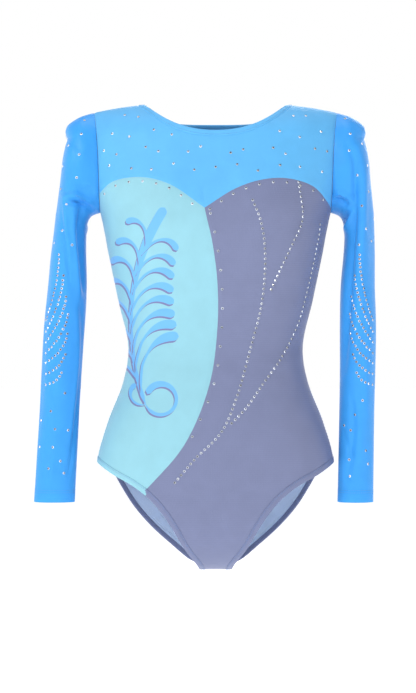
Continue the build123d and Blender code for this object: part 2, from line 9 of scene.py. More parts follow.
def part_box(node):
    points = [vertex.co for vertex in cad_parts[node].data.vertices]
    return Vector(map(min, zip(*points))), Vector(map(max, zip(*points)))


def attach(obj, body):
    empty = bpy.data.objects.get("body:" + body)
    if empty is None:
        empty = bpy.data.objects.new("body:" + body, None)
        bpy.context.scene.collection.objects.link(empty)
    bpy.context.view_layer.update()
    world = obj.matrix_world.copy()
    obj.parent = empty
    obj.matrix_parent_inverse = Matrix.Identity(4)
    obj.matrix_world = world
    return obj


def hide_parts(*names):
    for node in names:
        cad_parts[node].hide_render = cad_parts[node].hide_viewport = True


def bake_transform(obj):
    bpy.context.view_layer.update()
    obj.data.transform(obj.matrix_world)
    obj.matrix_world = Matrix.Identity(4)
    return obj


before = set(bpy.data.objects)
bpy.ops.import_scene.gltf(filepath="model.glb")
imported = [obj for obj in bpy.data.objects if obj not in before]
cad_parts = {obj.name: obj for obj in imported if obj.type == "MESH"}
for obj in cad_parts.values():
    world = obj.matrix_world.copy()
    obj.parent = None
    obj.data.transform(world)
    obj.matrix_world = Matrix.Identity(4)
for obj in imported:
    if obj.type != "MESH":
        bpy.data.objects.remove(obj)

bl_info = {
    "name": "Gymnastics Leotard",
    "version": (1, 0, 0),
    "blender": (4, 5, 0),
    "location": "View3D > Sidebar > Leotard",
    "description": "Builds the looks of a long-sleeved gymnastics leotard round its packed model",
    "category": "Add Mesh",
}

MM = 0.001


def unit(v):
    """Vectors made one long."""
    return v / np.maximum(np.linalg.norm(v, axis=-1, keepdims=True), 1e-9)


def run_of(line):
    """The length along a line up to each of its points."""
    return np.concatenate([[0], np.cumsum(np.linalg.norm(np.diff(line, axis=0), axis=1))])


def at_marks(marks, run, line):
    """The places on a line at lengths along it."""
    return np.stack([np.interp(marks, run, column) for column in line.T], axis=1)


def eased(share):
    """A share from 0 to 1 that leaves and arrives gently."""
    return share * share * (3 - 2 * share)


# ---------------------------------------------------------------- the form under the cloth, in millimetres

SHOULDER_Z = 652.0
SHOULDER_DROP = 18.0
SHOULDER_HALF = 186.0
CROTCH_ROUND = 78.0
SHOULDER_ROUND = 46.0
FULLNESS = 0.2
FORM = (
    (0.0, 62.0, 66.0, 66.0),
    (45.0, 118.0, 78.0, 92.0),
    (100.0, 156.0, 84.0, 108.0),
    (147.0, 165.5, 88.0, 114.0),
    (206.0, 150.5, 90.0, 106.0),
    (262.0, 129.0, 84.0, 84.0),
    (312.0, 122.0, 79.0, 72.0),
    (374.0, 135.5, 88.0, 78.0),
    (441.0, 149.5, 102.0, 92.0),
    (490.0, 159.0, 104.0, 99.0),
    (535.0, 174.0, 96.0, 102.0),
    (590.0, 184.0, 82.0, 94.0),
    (652.0, 186.0, 62.0, 70.0),
)
BUST = (84.0, 500.0, 46.0, 15.0)
SEAT = (72.0, 120.0, 52.0, 13.0)
NECK_HALF, NECK_FRONT_DROP, NECK_BACK_DROP, NECK_POWER = 98.0, 41.0, 20.0, 2.3
BINDING = 9.0
GUSSET_HALF = 22.0
ARMHOLE = ((161.3, 470.0), (161.3, 508.0), (161.9, 548.0), (163.2, 582.0), (165.6, 612.0), (170.0, 642.0))
LEG_FRONT = ((165.0, 149.0), (143.0, 135.0), (113.0, 119.0), (86.0, 97.0), (62.0, 65.0), (43.0, 31.0))
LEG_BACK = (
    (165.0, 149.0), (151.0, 138.0), (138.0, 115.0), (119.0, 84.0), (92.0, 53.0), (60.0, 26.0), (36.0, 8.0),
)
HEART_LOW = (-15.0, 500.0)
HEART_RIGHT = ((-64.0, 533.0), (-104.0, 543.0), (-142.0, 538.0), (-158.0, 526.0))
HEART_LEFT = ((26.0, 526.0), (62.0, 538.5), (98.0, 541.0), (134.0, 531.0), (155.0, 511.0))
CENTRE_SEAM = ((-5.0, 455.0), (2.2, 400.0), (2.2, 335.0), (-9.0, 258.0), (-43.0, 177.0), (-99.0, 111.0))
BACK_YOKE_Z, BACK_YOKE_RISE = 520.0, 16.0

# radii of the arcs by which the pattern turns in at the crotch and the shoulders
LOW_TURN, TOP_TURN = 70.0, 65.0
LOW_ARC = LOW_TURN * math.pi / 2
MID = SHOULDER_Z - SHOULDER_ROUND - CROTCH_ROUND
TOP_ARC = TOP_TURN * math.pi / 2
T_END = LOW_ARC + MID + TOP_ARC
ACROSS = 150.0


def _table(column):
    """A column of FORM on a half-millimetre grid, by cubic Hermite."""
    z = np.array([r[0] for r in FORM])
    y = np.array([r[column] for r in FORM])
    slope = np.empty(len(z))
    slope[1:-1] = (y[2:] - y[:-2]) / (z[2:] - z[:-2])
    slope[0] = (y[1] - y[0]) / (z[1] - z[0])
    slope[-1] = (y[-1] - y[-2]) / (z[-1] - z[-2])
    at = np.arange(0, SHOULDER_Z + 0.5, 0.5)
    k = np.clip(np.searchsorted(z, at, side="right") - 1, 0, len(z) - 2)
    h = z[k + 1] - z[k]
    t = (at - z[k]) / h
    value = (1 + 2 * t) * (1 - t) ** 2 * y[k] + t * (1 - t) ** 2 * h * slope[k]
    value += t * t * (3 - 2 * t) * y[k + 1] + t * t * (t - 1) * h * slope[k + 1]
    kernel = np.ones(9) / 9
    smooth = np.convolve(np.pad(value, 4, mode="edge"), kernel, mode="valid")
    return at, smooth


GRID_Z, WIDTHS = _table(1)
DEPTHS = {True: _table(2)[1], False: _table(3)[1]}


def half_width(z):
    return np.interp(z, GRID_Z, WIDTHS)


def z_of(t):
    t = np.asarray(t, dtype=float)
    low = CROTCH_ROUND * (1 - np.cos(t / LOW_TURN))
    mid = CROTCH_ROUND + (t - LOW_ARC)
    top = SHOULDER_Z - SHOULDER_ROUND * (1 - np.cos((T_END - t) / TOP_TURN))
    return np.where(t < LOW_ARC, low, np.where(t > LOW_ARC + MID, top, mid))


def t_of(z):
    z = np.clip(np.asarray(z, dtype=float), 0, SHOULDER_Z)
    low = LOW_TURN * np.arccos(np.clip(1 - z / CROTCH_ROUND, -1, 1))
    mid = LOW_ARC + z - CROTCH_ROUND
    top = T_END - TOP_TURN * np.arccos(np.clip(1 - (SHOULDER_Z - z) / SHOULDER_ROUND, -1, 1))
    return np.where(z < CROTCH_ROUND, low, np.where(z > SHOULDER_Z - SHOULDER_ROUND, top, mid))


def closing(t):
    low = np.sin(t / LOW_TURN)
    top = np.sin((T_END - t) / TOP_TURN)
    return np.where(t < LOW_ARC, low, np.where(t > LOW_ARC + MID, top, 1.0))


def swell(x, z, spec):
    """A pair of soft mounds, one each side."""
    aside, level, spread, height = spec
    total = 0.0
    for side in (-1, 1):
        total = total + height * np.exp(-((x - side * aside) ** 2 + (z - level) ** 2) / (2 * spread**2))
    return total


def ease_at(z):
    return eased(np.clip((z / SHOULDER_Z - 0.78) / 0.22, 0, 1))


def form(s, t, front):
    """Points of the form, in millimetres: s is 150 times the angle across, t the arc up from the crotch."""
    phi = np.asarray(s, dtype=float) / ACROSS
    z = z_of(t)
    x = half_width(z) * np.sin(phi)
    across = np.cos(phi) * (1 + FULLNESS * np.sin(phi) ** 2)
    full = np.interp(z, GRID_Z, DEPTHS[front]) + swell(x, z, BUST if front else SEAT)
    y = full * across * closing(t)
    drop = -SHOULDER_DROP * np.abs(x / SHOULDER_HALF) ** 3
    return np.stack([x, -y if front else y, z + drop * ease_at(z)], axis=-1)


def form_normal(s, t, front):
    a = form(s + 0.6, t, front) - form(s - 0.6, t, front)
    b = form(s, t + 0.8, front) - form(s, t - 0.8, front)
    n = unit(np.cross(a, b))
    return n if front else -n


def to_domain(x, z):
    """Front-view points to the (s, t) of the form, with what lies outside brought to its edge."""
    x = np.asarray(x, dtype=float)
    z = np.asarray(z, dtype=float)
    base = np.clip(z, 0, SHOULDER_Z)
    for _ in range(15):
        drop = -SHOULDER_DROP * np.abs(np.clip(x / SHOULDER_HALF, -1, 1)) ** 3
        base = np.clip(z - drop * ease_at(base), 0, SHOULDER_Z)
    return ACROSS * np.arcsin(np.clip(x / half_width(base), -1, 1)), t_of(base)


# ---------------------------------------------------------------- curves in front view

def through(points, step=3.0):
    """A smooth line through points, centripetal Catmull-Rom, at an even step."""
    p = np.array(points, dtype=float)
    p = np.vstack([2 * p[0] - p[1], p, 2 * p[-1] - p[-2]])
    out = []
    for k in range(1, len(p) - 2):
        p0, p1, p2, p3 = p[k - 1 : k + 3]
        t0 = 0.0
        t1 = t0 + max(np.linalg.norm(p1 - p0), 1e-6) ** 0.5
        t2 = t1 + max(np.linalg.norm(p2 - p1), 1e-6) ** 0.5
        t3 = t2 + max(np.linalg.norm(p3 - p2), 1e-6) ** 0.5
        n = max(2, int(np.linalg.norm(p2 - p1) / step) + 1)
        for t in np.linspace(t1, t2, n, endpoint=False):
            a1 = (t1 - t) / (t1 - t0) * p0 + (t - t0) / (t1 - t0) * p1
            a2 = (t2 - t) / (t2 - t1) * p1 + (t - t1) / (t2 - t1) * p2
            a3 = (t3 - t) / (t3 - t2) * p2 + (t - t2) / (t3 - t2) * p3
            b1 = (t2 - t) / (t2 - t0) * a1 + (t - t0) / (t2 - t0) * a2
            b2 = (t3 - t) / (t3 - t1) * a2 + (t - t1) / (t3 - t1) * a3
            out.append((t2 - t) / (t2 - t1) * b1 + (t - t1) / (t2 - t1) * b2)
    out.append(p[-2])
    return np.array(out)


def beside(line, distance):
    """A line moved to its left."""
    along = unit(np.gradient(line, axis=0))
    return line + distance * np.stack([-along[:, 1], along[:, 0]], axis=1)


def shoulder_line(x):
    return SHOULDER_Z - SHOULDER_DROP * abs(x / SHOULDER_HALF) ** 3


def neck_line(front, inset=0.0):
    drop = NECK_FRONT_DROP if front else NECK_BACK_DROP
    power = NECK_POWER if front else NECK_POWER * NECK_FRONT_DROP / NECK_BACK_DROP
    top = shoulder_line(NECK_HALF)
    share = np.linspace(-1.17, 1.17, 141)
    line = np.stack([NECK_HALF * share, top - drop + drop * np.abs(share) ** power], axis=1)
    return beside(line, -inset)


def leg_line(front, side, inset=0.0):
    table = LEG_FRONT if front else LEG_BACK
    slope = (table[0][1] - table[1][1]) / (table[0][0] - table[1][0])
    start = (table[0][0] + 40, table[0][1] + 40 * slope)
    foot = ((GUSSET_HALF + 1.5, 2.0), (GUSSET_HALF, -14.0), (GUSSET_HALF, -40.0))
    line = beside(through((start,) + table + foot), -inset)
    return line * np.array([side, 1.0])


def armhole_line(side):
    return through(ARMHOLE + ((174.0, 672.0),)) * np.array([side, 1.0])


def heart_line():
    right = through(((-220.0, 470.0), (-178.0, 505.0)) + HEART_RIGHT[::-1] + (HEART_LOW,))
    left = through((HEART_LOW,) + HEART_LEFT + ((172.0, 488.0), (220.0, 430.0)))
    return np.vstack([right, left[1:]])


def centre_line():
    return through(((HEART_LOW[0] - 3, HEART_LOW[1] + 30), HEART_LOW) + CENTRE_SEAM + ((-160.0, 40.0),))


def back_yoke_line():
    x = np.linspace(-240, 240, 97)
    return np.stack([x, BACK_YOKE_Z - BACK_YOKE_RISE * np.cos(np.pi * x / 340)], axis=1)


def inside(points, polygon):
    """Which points lie in a closed front-view polygon."""
    x, z = points[:, 0], points[:, 1]
    hit = np.zeros(len(points), dtype=bool)
    a = polygon
    b = np.roll(polygon, -1, axis=0)
    for (x0, z0), (x1, z1) in zip(a, b):
        if z0 == z1:
            continue
        cross = ((z0 > z) != (z1 > z)) & (x < (x1 - x0) * (z - z0) / (z1 - z0) + x0)
        hit ^= cross
    return hit


# ---------------------------------------------------------------- the printed plume, made by rule

SPINE = ((-96.0, 232.0), 112.0, -56.0, 1.0, 280.0)  # start, heading, bend, how late it bends, length
PAIRS = 8


def curling(start, heading, bend, late, length, steps=40):
    """A line that leaves at a heading and curls more and more."""
    share = np.linspace(0, 1, steps)
    turn = np.radians(heading + bend * share**late)
    step = length / (steps - 1)
    x = start[0] + np.concatenate([[0], np.cumsum(np.cos(turn[:-1]) * step)])
    z = start[1] + np.concatenate([[0], np.cumsum(np.sin(turn[:-1]) * step)])
    return np.stack([x, z], axis=1)


def club(line, root, tip):
    """The outline of a stroke that is slim along its way and swells to a rounded end."""
    run = run_of(line)
    total = run[-1]
    t = run / total
    swell_in = np.clip((t - 0.5) / 0.4, 0, 1)
    width = root + (tip - root) * swell_in**2 * (3 - 2 * swell_in)
    cap = max(tip, root) * 0.62
    end = np.clip((run - (total - cap)) / cap, 0, 1)
    width = width * np.sqrt(np.clip(1 - end**2, 0.004, 1)) * np.clip(0.15 + run / 14, 0, 1)
    along = unit(np.gradient(line, axis=0))
    normal = np.stack([-along[:, 1], along[:, 0]], axis=1)
    left = line + normal * (width / 2)[:, None]
    right = line - normal * (width / 2)[:, None]
    return np.vstack([left, right[::-1]])


def scroll_strokes():
    """A plume by rule: fronds leave a bent spine by turns, shorter towards its top, over a foot coil."""
    spine = curling(*SPINE, steps=120)
    strokes = [(spine, 5.4, 13.0)]
    for k in range(2 * PAIRS):
        share = (k + 0.5) / (2 * PAIRS)
        at = int(6 + 92 * share)
        dx, dz = spine[at + 1] - spine[at]
        side = 1 if k % 2 else -1
        heading = math.degrees(math.atan2(dz, dx)) + side * 16
        length = 108 - 50 * share if side < 0 else 70 - 16 * share
        frond = curling(spine[at], heading, side * (104 + 40 * share), 1.7, length)
        strokes.append((frond, 3.4, 13.0 - 5.0 * share))
    strokes.append((curling(SPINE[0], -62, 318, 1.05, 118), 4.6, 9.0))
    strokes.append((curling(SPINE[0], 190, -170, 1.2, 46), 3.0, 7.0))
    return strokes


def scroll_leaves():
    """Outlines of the printed scroll in painting order: each stroke's shade, then the stroke."""
    out = []
    for line, root, tip in scroll_strokes():
        shade = 1.15 + 0.11 * tip
        out.append((2, club(line, root, tip) + np.array([-0.62 * shade, -shade])))
        out.append((1, club(line, root, tip)))
    return out


# ---------------------------------------------------------------- the sleeves, in millimetres on the +X side

SLEEVE = (
    ((150.0, 497.0), (152.0, 642.0), 46.0),
    ((161.5, 497.5), (171.0, 638.0), 48.5),
    ((168.5, 496.0), (192.0, 631.0), 50.0),
    ((174.5, 492.5), (211.0, 615.0), 49.0),
    ((178.5, 485.0), (220.5, 583.0), 47.0),
    ((180.2, 474.0), (224.3, 540.0), 44.5),
    ((180.4, 458.0), (226.3, 496.0), 42.5),
    ((179.2, 436.0), (228.8, 444.0), 40.5),
    ((176.2, 394.0), (231.0, 394.0), 37.5),
    ((176.0, 340.0), (233.5, 340.0), 33.5),
    ((177.0, 280.0), (233.5, 280.0), 30.0),
    ((177.0, 220.0), (233.0, 220.0), 26.5),
    ((176.8, 160.0), (233.2, 160.0), 23.0),
    ((176.5, 94.0), (233.5, 94.0), 20.0),
)
SIDES = {"right": -1, "left": 1}
SPLAY_FROM_Z = 480.0
SPLAY = {"right": 3.2, "left": -0.9}
NARROW = {"right": 0.0, "left": 7.0}
CUFF_TOP_Z = 118.0
SEWN_IN = 26.0
FOLD_DEPTH = 1.4
# how far the upper arm's outer edge lies inside its CAD solid, under the corner of the shoulder
ARM_INSET_Z = (440.0, 496.0, 540.0, 583.0, 601.0, 611.0, 620.0, 660.0)
ARM_INSET = {
    "right": (0.0, 2.5, 7.0, 9.0, 9.5, 3.0, 0.0, 0.0),
    "left": (0.0, 1.0, 5.0, 8.0, 8.5, 3.0, 0.0, 0.0),
}

# line, width and height of each fold, in front view; a hollow has a negative height
FOLDS = {
    "right": (
        (((-214, 516), (-200, 521), (-186, 518), (-170, 509)), 3.4, 3.0),
        (((-209, 508), (-197, 512), (-184, 509), (-170, 501)), 3.2, -3.6),
        (((-166, 526), (-180, 530), (-192, 528)), 3.4, -1.6),
        (((-184, 514), (-187, 476), (-185, 430), (-181, 380)), 4.2, -5.6),
        (((-196, 508), (-197, 470), (-193, 430), (-188, 370)), 4.0, 2.8),
        (((-216, 513), (-212, 480), (-206, 440), (-200, 390)), 3.0, -1.8),
        (((-209, 506), (-206, 470), (-200, 425)), 3.6, 2.0),
        (((-224, 540), (-222, 505), (-217, 470)), 6.0, -1.4),
        (((-205, 400), (-214, 350), (-216, 300), (-222, 240)), 8.0, 1.6),
        (((-188, 384), (-185, 320), (-190, 250), (-198, 180), (-206, 124)), 2.8, -2.2),
        (((-194, 370), (-191, 310), (-196, 240), (-204, 170)), 3.4, 1.2),
        (((-232, 420), (-238, 340), (-243, 250), (-246, 180)), 5.0, -1.2),
        (((-216, 200), (-226, 160), (-230, 124)), 6.0, 1.4),
        (((-178, 626), (-194, 600), (-206, 560)), 10.0, 1.4),
        (((-212, 604), (-198, 596), (-186, 580)), 6.0, -1.2),
    ),
    "left": (
        (((150, 519), (172, 523), (186, 516), (193, 506)), 3.6, 3.4),
        (((154, 511), (172, 514), (183, 507)), 3.2, -3.6),
        (((193, 510), (186, 488), (174, 462)), 3.6, 3.2),
        (((184, 500), (178, 484), (170, 468)), 3.4, -2.6),
        (((178, 596), (191, 570), (192, 520), (190, 478), (186, 420), (183, 360), (178, 268)), 4.6, -4.6),
        (((188, 600), (203, 566), (204, 500), (200, 430), (197, 350), (196, 258)), 6.0, 2.4),
        (((216, 560), (215, 500), (218, 440), (214, 380)), 6.0, -1.6),
        (((206, 380), (212, 320), (208, 260), (212, 190)), 7.0, 1.6),
        (((188, 250), (192, 200), (187, 150), (180, 110)), 4.0, -2.0),
        (((200, 240), (202, 190), (200, 140)), 6.0, 1.3),
        (((178, 190), (186, 168), (196, 150)), 3.4, -1.4),
        (((172, 630), (186, 608), (196, 580)), 8.0, 1.4),
        (((210, 604), (198, 598), (186, 588)), 6.0, -1.2),
    ),
}

PULLS = (
    (((154, 500), (132, 482), (104, 470)), 6.0, -1.0),
    (((158, 486), (138, 462), (116, 444)), 7.0, 0.9),
    (((-154, 500), (-132, 484), (-108, 474)), 6.0, -1.0),
    (((-158, 484), (-138, 460), (-118, 440)), 7.0, 0.9),
    (((122, 318), (96, 306), (64, 302)), 6.0, -0.8),
    (((124, 296), (92, 286), (58, 290)), 6.0, 0.7),
    (((-122, 314), (-98, 304), (-66, 300)), 6.0, -0.8),
    (((-124, 292), (-94, 284), (-60, 286)), 6.0, 0.7),
    (((84, 104), (52, 112), (18, 96), (4, 60)), 6.0, -0.9),
    (((-84, 104), (-52, 110), (-20, 94), (-6, 60)), 6.0, -0.8),
    (((34, 40), (18, 62), (12, 96)), 4.0, 0.8),
    (((-34, 40), (-20, 60), (-14, 92)), 4.0, 0.8),
    (((140, 560), (120, 552), (96, 554)), 7.0, 0.7),
    (((-142, 562), (-122, 556), (-98, 560)), 7.0, 0.7),
)


def fold_height(x, z, folds):
    """How far folds lift points seen in front view."""
    x = np.asarray(x, dtype=float)
    lift = np.zeros(x.shape)
    for line, width, height in folds:
        points = through(line, 6.0)
        best = np.full(x.shape, 1e9)
        share = np.zeros(x.shape)
        total = len(points) - 1
        for k in range(total):
            a, b = points[k], points[k + 1]
            d = b - a
            f = np.clip(((x - a[0]) * d[0] + (z - a[1]) * d[1]) / (d @ d), 0, 1)
            gap = np.hypot(x - a[0] - f * d[0], z - a[1] - f * d[1])
            nearer = gap < best
            best = np.where(nearer, gap, best)
            share = np.where(nearer, (k + f) / total, share)
        fade = np.sin(np.pi * np.clip(share, 0.0, 1.0)) ** 0.6
        lift += height * fade * np.exp(-((best / width) ** 2))
    return lift


def rows_at(values, at):
    """Catmull-Rom through a list, at real places in it."""
    v = np.array(values, dtype=float)
    at = np.clip(at, 0, len(v) - 1)
    k = np.minimum(np.floor(at).astype(int), len(v) - 2)
    t = at - k
    p0, p1 = v[np.maximum(k - 1, 0)], v[k]
    p2, p3 = v[k + 1], v[np.minimum(k + 2, len(v) - 1)]
    square, cube = 2 * p0 - 5 * p1 + 4 * p2 - p3, 3 * p1 - p0 - 3 * p2 + p3
    return 0.5 * (2 * p1 + (p2 - p0) * t + square * t**2 + cube * t**3)


def bare_sleeve(at, turn, side, off=0.0):
    """A sleeve before it is sewn in or creased: turn 0 is the outer edge, a quarter the front."""
    ix, iz = rows_at([r[0][0] for r in SLEEVE], at), rows_at([r[0][1] for r in SLEEVE], at)
    ox, oz = rows_at([r[1][0] for r in SLEEVE], at), rows_at([r[1][1] for r in SLEEVE], at)
    deep = rows_at([r[2] for r in SLEEVE], at)
    slim = NARROW[side] * np.clip((at - 4.0) / 4.0, 0, 1)
    ox = ox - slim
    deep = deep + slim * 0.45
    half = np.hypot(ox - ix, oz - iz) / 2
    ease = (half + off) / half / 2
    x = (ix + ox) / 2 + (ox - ix) * ease * np.cos(turn)
    z = (iz + oz) / 2 + (oz - iz) * ease * np.cos(turn)
    y = -(deep + off) * np.sin(turn)
    x = x - np.interp(z, ARM_INSET_Z, ARM_INSET[side]) * np.clip(np.cos(turn), 0, 1) ** 1.3
    fall = np.maximum(0.0, SPLAY_FROM_Z - z)
    x = x + math.tan(math.radians(SPLAY[side])) * (fall - 20 * (1 - np.exp(-fall / 20)))
    return np.stack([SIDES[side] * x, y, z], axis=-1)


def outward(way, at, turn, side):
    """Unit normals of a sleeve surface function, pointing out."""
    da = way(at + 0.02, turn, side) - way(at - 0.02, turn, side)
    dt = way(at, turn + 0.02, side) - way(at, turn - 0.02, side)
    n = unit(np.cross(da, dt))
    middle = (bare_sleeve(at, turn * 0, side) + bare_sleeve(at, turn * 0 + np.pi, side)) / 2
    facing = np.sum(n * (way(at, turn, side) - middle), axis=-1, keepdims=True)
    return np.where(facing < 0, -n, n)


ARM_Z = np.array([p[1] for p in ARMHOLE] + [672.0])
ARM_X = np.array([p[0] for p in ARMHOLE] + [174.0])
ARM_FOOT, ARM_TOP = 498.0, 638.2


def armhole_ring(turn, side):
    """The body's armhole edge at a turn of the sleeve."""
    share = (1 - np.cos(turn)) / 2
    z = ARM_TOP + (ARM_FOOT - ARM_TOP) * share
    x = np.interp(z, ARM_Z, ARM_X)
    s, t = to_domain(x, z)
    out = np.zeros(np.shape(turn) + (3,))
    for front in (True, False):
        p = form(s, t, front)
        mask = (np.sin(turn) >= 0) == front
        out = np.where(mask[..., None], p, out)
    out[..., 0] *= SIDES[side]
    return out


def seam_place(turn, side):
    """Where along the sleeve it meets the armhole, for each turn."""
    tries = np.linspace(0.0, 3.0, 151)
    at, around = np.meshgrid(tries, turn, indexing="ij")
    p = bare_sleeve(at, around, side)
    beyond = SIDES[side] * p[..., 0] - np.interp(p[..., 2], ARM_Z, ARM_X) > 0
    return tries[np.argmax(beyond, axis=0)]


def sewn_sleeve(at, turn, side):
    """The sleeve joined to the armhole, without creases."""
    at = np.asarray(at, dtype=float)
    turn = np.asarray(turn, dtype=float)
    p = bare_sleeve(at, turn, side)
    flat = np.linspace(0, 2 * np.pi, 181)
    starts = seam_place(flat, side)
    start = np.interp(np.mod(turn, 2 * np.pi), flat, starts)
    pull = armhole_ring(turn, side) - bare_sleeve(start, turn, side)
    far = np.linalg.norm(p - bare_sleeve(start, turn, side), axis=-1)
    keep = eased(np.clip(1 - far / SEWN_IN, 0, 1))
    return p + pull * keep[..., None]


def sleeve_lift(p, turn, side):
    """Creases, and the dip into the armhole seam."""
    front = np.clip(np.sin(turn) * 2.2 + 0.15, 0, 1)
    back = np.clip(-np.sin(turn) * 2.2, 0, 1)
    folds = fold_height(p[..., 0], p[..., 2], FOLDS[side])
    other = "left" if side == "right" else "right"
    behind = fold_height(-p[..., 0], p[..., 2], FOLDS[other])
    lift = folds * front + 0.8 * behind * back
    edge = SIDES[side] * p[..., 0] - np.interp(p[..., 2], ARM_Z, ARM_X)
    seam = np.exp(-((np.clip(edge, 0, 60) / 2.2) ** 2)) * (p[..., 2] > 480)
    gathered = 0.5 * np.sin(turn * 34) * np.exp(-((np.clip(edge, 0, 80) / 9.0) ** 2)) * (p[..., 2] > 480)
    hem = np.clip((p[..., 2] - CUFF_TOP_Z) / 20, 0, 1)
    lift = lift * FOLD_DEPTH
    return lift * np.clip(edge / 8, 0, 1) * (0.25 + 0.75 * hem) - 0.8 * seam + gathered * 0.5


def sleeve_surface(at, turn, side):
    p = sewn_sleeve(at, turn, side)
    n = outward(sewn_sleeve, at, turn, side)
    return p + n * sleeve_lift(p, turn, side)[..., None]


# ---------------------------------------------------------------- where stones lie

ROW_A = (
    (50, 510), (60, 485), (66, 455), (67, 412), (62, 365), (48, 310), (28, 240), (8, 195), (-28, 158),
    (-57, 124),
)
ROW_B = ((113, 536), (118.5, 485), (105, 452), (90, 420), (74, 385))
ROW_C = ((144, 480), (137, 435), (126, 386), (114, 343), (91, 297), (66, 262), (42, 228), (20, 205))
HEART_STONES = (
    ((-153, 522), (-140, 531), (-104, 537), (-64, 527), (-22, 498)),
    ((-8, 498), (26, 520), (62, 532.5), (98, 535), (134, 525), (150, 512)),
)
SLEEVE_EDGE = {"right": -236.0, "left": 218.0}
SLEEVE_LOOSE = {
    "right": (
        (-209, 246), (-229, 221), (-243, 209), (-223, 196), (-205, 195), (-245, 172), (-226, 171),
        (-216, 153), (-232, 141), (-211, 136),
    ),
    "left": (
        (194, 217), (179, 202), (188, 195), (209, 167), (186, 154), (187, 132), (204, 236), (212, 148),
    ),
}
CAP_LOOSE = {
    "right": (
        (-186, 606), (-204, 590), (-188, 576), (-212, 562), (-192, 545), (-214, 530), (-206, 508),
        (-224, 494),
        (-212, 472), (-198, 452), (-224, 455), (-182, 626),
    ),
    "left": (
        (186, 606), (203, 592), (184, 582), (210, 562), (196, 548), (212, 526), (202, 506), (220, 490),
        (208, 474), (198, 452), (216, 458), (180, 628),
    ),
}


def spaced(points, pitch, start=0.0):
    """Even steps along a smooth line."""
    line = through(points, 0.5)
    run = run_of(line)
    marks = np.arange(start, run[-1], pitch)
    return at_marks(marks, run, line)


def sleeve_rows(side):
    """Curved rows that rise one above another from the outer edge of the forearm, longer as they go up."""
    way = SIDES[side]
    rows = []
    for k in range(7):
        start = (SLEEVE_EDGE[side], 258.0 + 15.0 * k)
        line = curling(start, 90 + way * (74 - 9 * k), -way * (62 - 7 * k), 1.3, 34.0 + 10.0 * k, 24)
        rows.append(spaced(line, 5.8))
    return rows


def yoke_spots():
    """A loose scatter over the yoke, on a staggered grid with a fixed wobble."""
    low = neck_line(True, BINDING + 5)
    out = []
    for row in range(5):
        for col in range(-6, 7):
            x = 29.0 * col + (14.5 if row % 2 else 0.0) + 6.0 * math.sin(3.1 * col + 1.7 * row)
            z = 556.0 + 24.0 * row + 5.0 * math.sin(2.3 * col + 4.1 * row)
            limit = np.interp(x, low[:, 0], low[:, 1]) if abs(x) < NECK_HALF + 14 else shoulder_line(x) - 9
            if abs(x) < 154 and z < limit:
                out.append((x, z))
    return np.array(out)


def on_sleeve(spots, side):
    """The sleeve's own coordinates under front-view points."""
    at, turn = np.meshgrid(np.linspace(1.2, 12.9, 420), np.linspace(0.12, np.pi - 0.12, 110), indexing="ij")
    p = sleeve_surface(at, turn, side)
    out = []
    for x, z in spots:
        k = np.argmin((p[..., 0] - x) ** 2 + (p[..., 2] - z) ** 2)
        out.append((at.flat[k], turn.flat[k]))
    return np.array(out)


# ---------------------------------------------------------------- materials

def rgb(r, g, b):
    """A screen colour, 0 to 255, as the shader wants it."""
    out = []
    for c in (r, g, b):
        c = c / 255
        out.append(c / 12.92 if c <= 0.04045 else ((c + 0.055) / 1.055) ** 2.4)
    return tuple(out)


class Nodes:
    """A short way to wire a material."""

    def __init__(self, name):
        self.material = bpy.data.materials.new(name)
        self.material.use_nodes = True
        self.tree = self.material.node_tree
        self.shader = self.tree.nodes["Principled BSDF"]

    def add(self, kind, **values):
        node = self.tree.nodes.new(kind)
        for key, value in values.items():
            setattr(node, key, value)
        return node

    def join(self, source, target):
        self.tree.links.new(source, target)

    def math(self, operation, a, b=None):
        node = self.add("ShaderNodeMath", operation=operation)
        for socket, value in zip(node.inputs, (a, b)):
            if isinstance(value, bpy.types.NodeSocket):
                self.join(value, socket)
            elif value is not None:
                socket.default_value = value
        return node.outputs[0]

    def mix(self, share, a, b):
        node = self.add("ShaderNodeMix", data_type="RGBA")
        for socket, value in ((node.inputs[0], share), (node.inputs[6], a), (node.inputs[7], b)):
            if isinstance(value, bpy.types.NodeSocket):
                self.join(value, socket)
            else:
                socket.default_value = (*value, 1.0) if isinstance(value, tuple) else value
        return node.outputs[2]

    def bands(self, vector, scale, direction):
        node = self.add("ShaderNodeTexWave", wave_type="BANDS", bands_direction=direction)
        node.inputs["Scale"].default_value = scale
        node.inputs["Distortion"].default_value = 0.6
        node.inputs["Detail"].default_value = 1.0
        self.join(vector, node.inputs["Vector"])
        return node.outputs["Fac"]

    def noise(self, vector, scale, detail=3.0):
        node = self.add("ShaderNodeTexNoise")
        node.inputs["Scale"].default_value = scale
        node.inputs["Detail"].default_value = detail
        self.join(vector, node.inputs["Vector"])
        return node.outputs["Fac"]

    def look(self, **values):
        """Uniform values on the shader, an underscore standing for a space."""
        for key, value in values.items():
            self.shader.inputs[key.replace("_", " ")].default_value = value

    def bump(self, height, distance, strength):
        node = self.add("ShaderNodeBump")
        node.inputs["Distance"].default_value = distance
        node.inputs["Strength"].default_value = strength
        self.join(height, node.inputs["Height"])
        self.join(node.outputs["Normal"], self.shader.inputs["Normal"])


def darker(colour, share):
    return tuple(c * share for c in colour)


